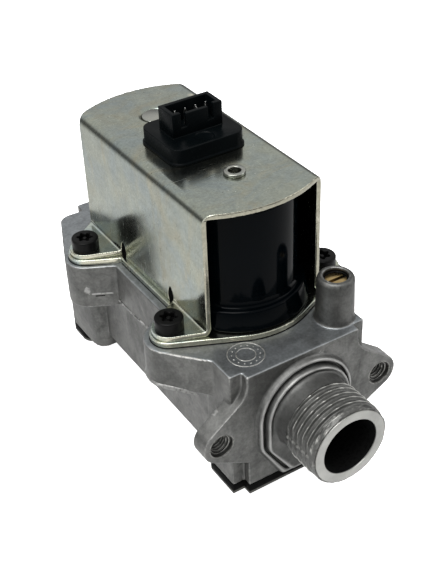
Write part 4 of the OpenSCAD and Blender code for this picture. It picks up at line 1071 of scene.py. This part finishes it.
low, high = measured("plug_shroud")
bm = bmesh.new()
foot = roundedPlan((high.x - low.x) / 2 - 0.02, (high.y - low.y) / 2 - 0.02, 0.3, 4,
                   ((low.x + high.x) / 2, (low.y + high.y) / 2))
bead(bm, [at(x, y, measured("connector_base")[1].z) for x, y in foot + foot[:2]], 0.2)
addMade("plugFillet", bm, plugSatin, "connector_base")

pins = {"first": -4.2, "gap": 2.8, "count": 4, "half": 0.32, "rounding": 0.06}
low, high = measured("plug_pins")
levels = ((0.1, low.z), (0, low.z + 0.2), (0, high.z - 0.3), (0.2, high.z + 0.4))  # (inset, height)
bm = bmesh.new()
for i in range(pins["count"]):
    middle = (pins["first"] + pins["gap"] * i, (low.y + high.y) / 2)
    plans = [(roundedPlan(pins["half"] - inset, pins["half"] - inset, pins["rounding"], 2, middle), z)
             for inset, z in levels]
    solidOf(bm, [[bm.verts.new(at(x, y, z)) for x, y in outline] for outline, z in plans])
addMade("plugPins", bm, pinTin, "plug_pins")
print("connector")


# underside, seals and the parts inside

footIn = (casting["foot"], 0.7)
bevelled("bottomGasket", "bottom_gasket", 0.12, rubberBlack, drawnIn=footIn)
bevelled("bottomCover", "bottom_cover", 0.1, coverSteel, drawnIn=footIn)
bevelled("testScrew", "test_screw", 0.08, brassYellow)
pairs = {"chamber_seal": rubberBlack, "disc_seal": rubberBlack, "winding": copperRed, "bobbin": nylonWhite,
         "guide_tube": brassYellow, "plunger": coreSteel, "valve_disc": coreSteel}
inside = {kind + end: paint for kind, paint in pairs.items() for end in ends.values()}
for node, paint in {"test_seal": rubberBlack, "inlet_strainer": meshSteel, **inside}.items():
    for slot in nodes[node].material_slots:
        slot.link = "OBJECT"
        slot.material = paint

# each return spring is a wire coil with closed ends that fills its node's box
spring = {"wire": 0.8, "turns": 4, "closed": 0.6}
for end in ends:
    node, joint = "return_spring" + ends[end], "valve_lift" + ends[end]
    low, high = measured(node)
    middle, radius = (low + high) / 2, (high.x - low.x - spring["wire"]) / 2
    bm = bmesh.new()
    points = []
    count = 48 * spring["turns"]
    for k in range(count + 1):
        t = k / count
        share = spring["closed"] / spring["turns"]
        climb = min(max((t - share) / (1 - 2 * share), 0), 1)
        z = low.z + spring["wire"] / 2 + climb * (high.z - low.z - spring["wire"])
        points.append(at(*onCircle(middle.x, middle.y, radius, tau * spring["turns"] * t), z))
    bead(bm, points, spring["wire"] / 2, 0, 12)
    piece = addMade("spring" + end, bm, springSteel, node)
    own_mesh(piece)
print("inner parts")


# studio, in metres; each lamp is (place, size, power)

studio = {
    "floorTone": 0.93, "worldTone": 0.9, "worldPower": 0.5, "floorLift": 0.14, "farTone": 0.35,
    "near": 0.02, "far": 0.46, "lowSky": 0.22, "highSky": 0.45, "skyDark": 0.22, "target": (0, 0, 0.03),
    "lamps": {"softTop": ((-0.25, -0.1, 0.75), (0.5, 0.5), 6),
              "softFront": ((0.655, -0.425, 0.3), (0.4, 0.6), 1.7),
              "softLeft": ((-0.7, -0.1, 0.25), (0.4, 0.5), 1.5)},
}
floorMesh = bpy.data.meshes.new("floor")
floorMesh.from_pydata([(-3, -3, 0), (3, -3, 0), (3, 3, 0), (-3, 3, 0)], [], [(0, 1, 2, 3)])
floor = placed("floor", floorMesh)
floor.location.z = cadBox[0][2]

# the camera sees plain white all round, and mirror rays see a room that darkens towards its horizon
floorPaint, tree, shader = newPaint("floorPaint")
path = added(tree, "LightPath")
away = added(tree, "VectorMath")
away.operation = "LENGTH"
tree.links.new(place(tree), away.inputs[0])
fade = spread(tree, away.outputs["Value"], studio["near"], studio["far"], 1, studio["farTone"])
tone = blendColours(tree, path.outputs["Is Glossy Ray"], (studio["floorTone"],) * 3,
                    times(tree, fade, studio["floorTone"]))
direct = combine(tree, "MAXIMUM", path.outputs["Is Camera Ray"], path.outputs["Is Transmission Ray"])
mirror = times(tree, times(tree, path.outputs["Is Glossy Ray"], fade), studio["floorLift"])
settle(tree, shader, {
    "Base Color": tone, "Roughness": 0.9, "Specular IOR Level": 0.1, "Emission Color": (1, 1, 1, 1),
    "Emission Strength": combine(tree, "ADD", direct, mirror)})
floorMesh.materials.append(floorPaint)

world = bpy.data.worlds.new("studio")
world.use_nodes = True
tree = world.node_tree
sky = tree.nodes["Background"]
sky.inputs["Color"].default_value = (studio["worldTone"],) * 3 + (1,)
path = added(tree, "LightPath")
heading = axes(tree, added(tree, "TexCoord").outputs["Generated"])["Z"]
climb = spread(tree, heading, studio["lowSky"], studio["highSky"], studio["skyDark"], 1)
direct = combine(tree, "MAXIMUM", path.outputs["Is Camera Ray"], path.outputs["Is Transmission Ray"])
plain = spread(tree, direct, 0, 1, studio["worldPower"], 1 / studio["worldTone"])
power = added(tree, "Mix")
tree.links.new(path.outputs["Is Glossy Ray"], power.inputs[0])
tree.links.new(plain, power.inputs[2])
tree.links.new(times(tree, climb, 1 / studio["worldTone"]), power.inputs[3])
tree.links.new(power.outputs[0], sky.inputs["Strength"])
bpy.context.scene.world = world

for name, (spot, size, power) in studio["lamps"].items():
    data = bpy.data.lights.new(name, "AREA")
    data.shape = "RECTANGLE"
    data.size, data.size_y = size
    data.energy = power
    lamp = placed(name, data)
    lamp.location = spot
    lamp.rotation_euler = (Vector(studio["target"]) - Vector(spot)).to_track_quat("-Z", "Y").to_euler()
bpy.context.scene.view_settings.view_transform = "Standard"
print("studio lit")
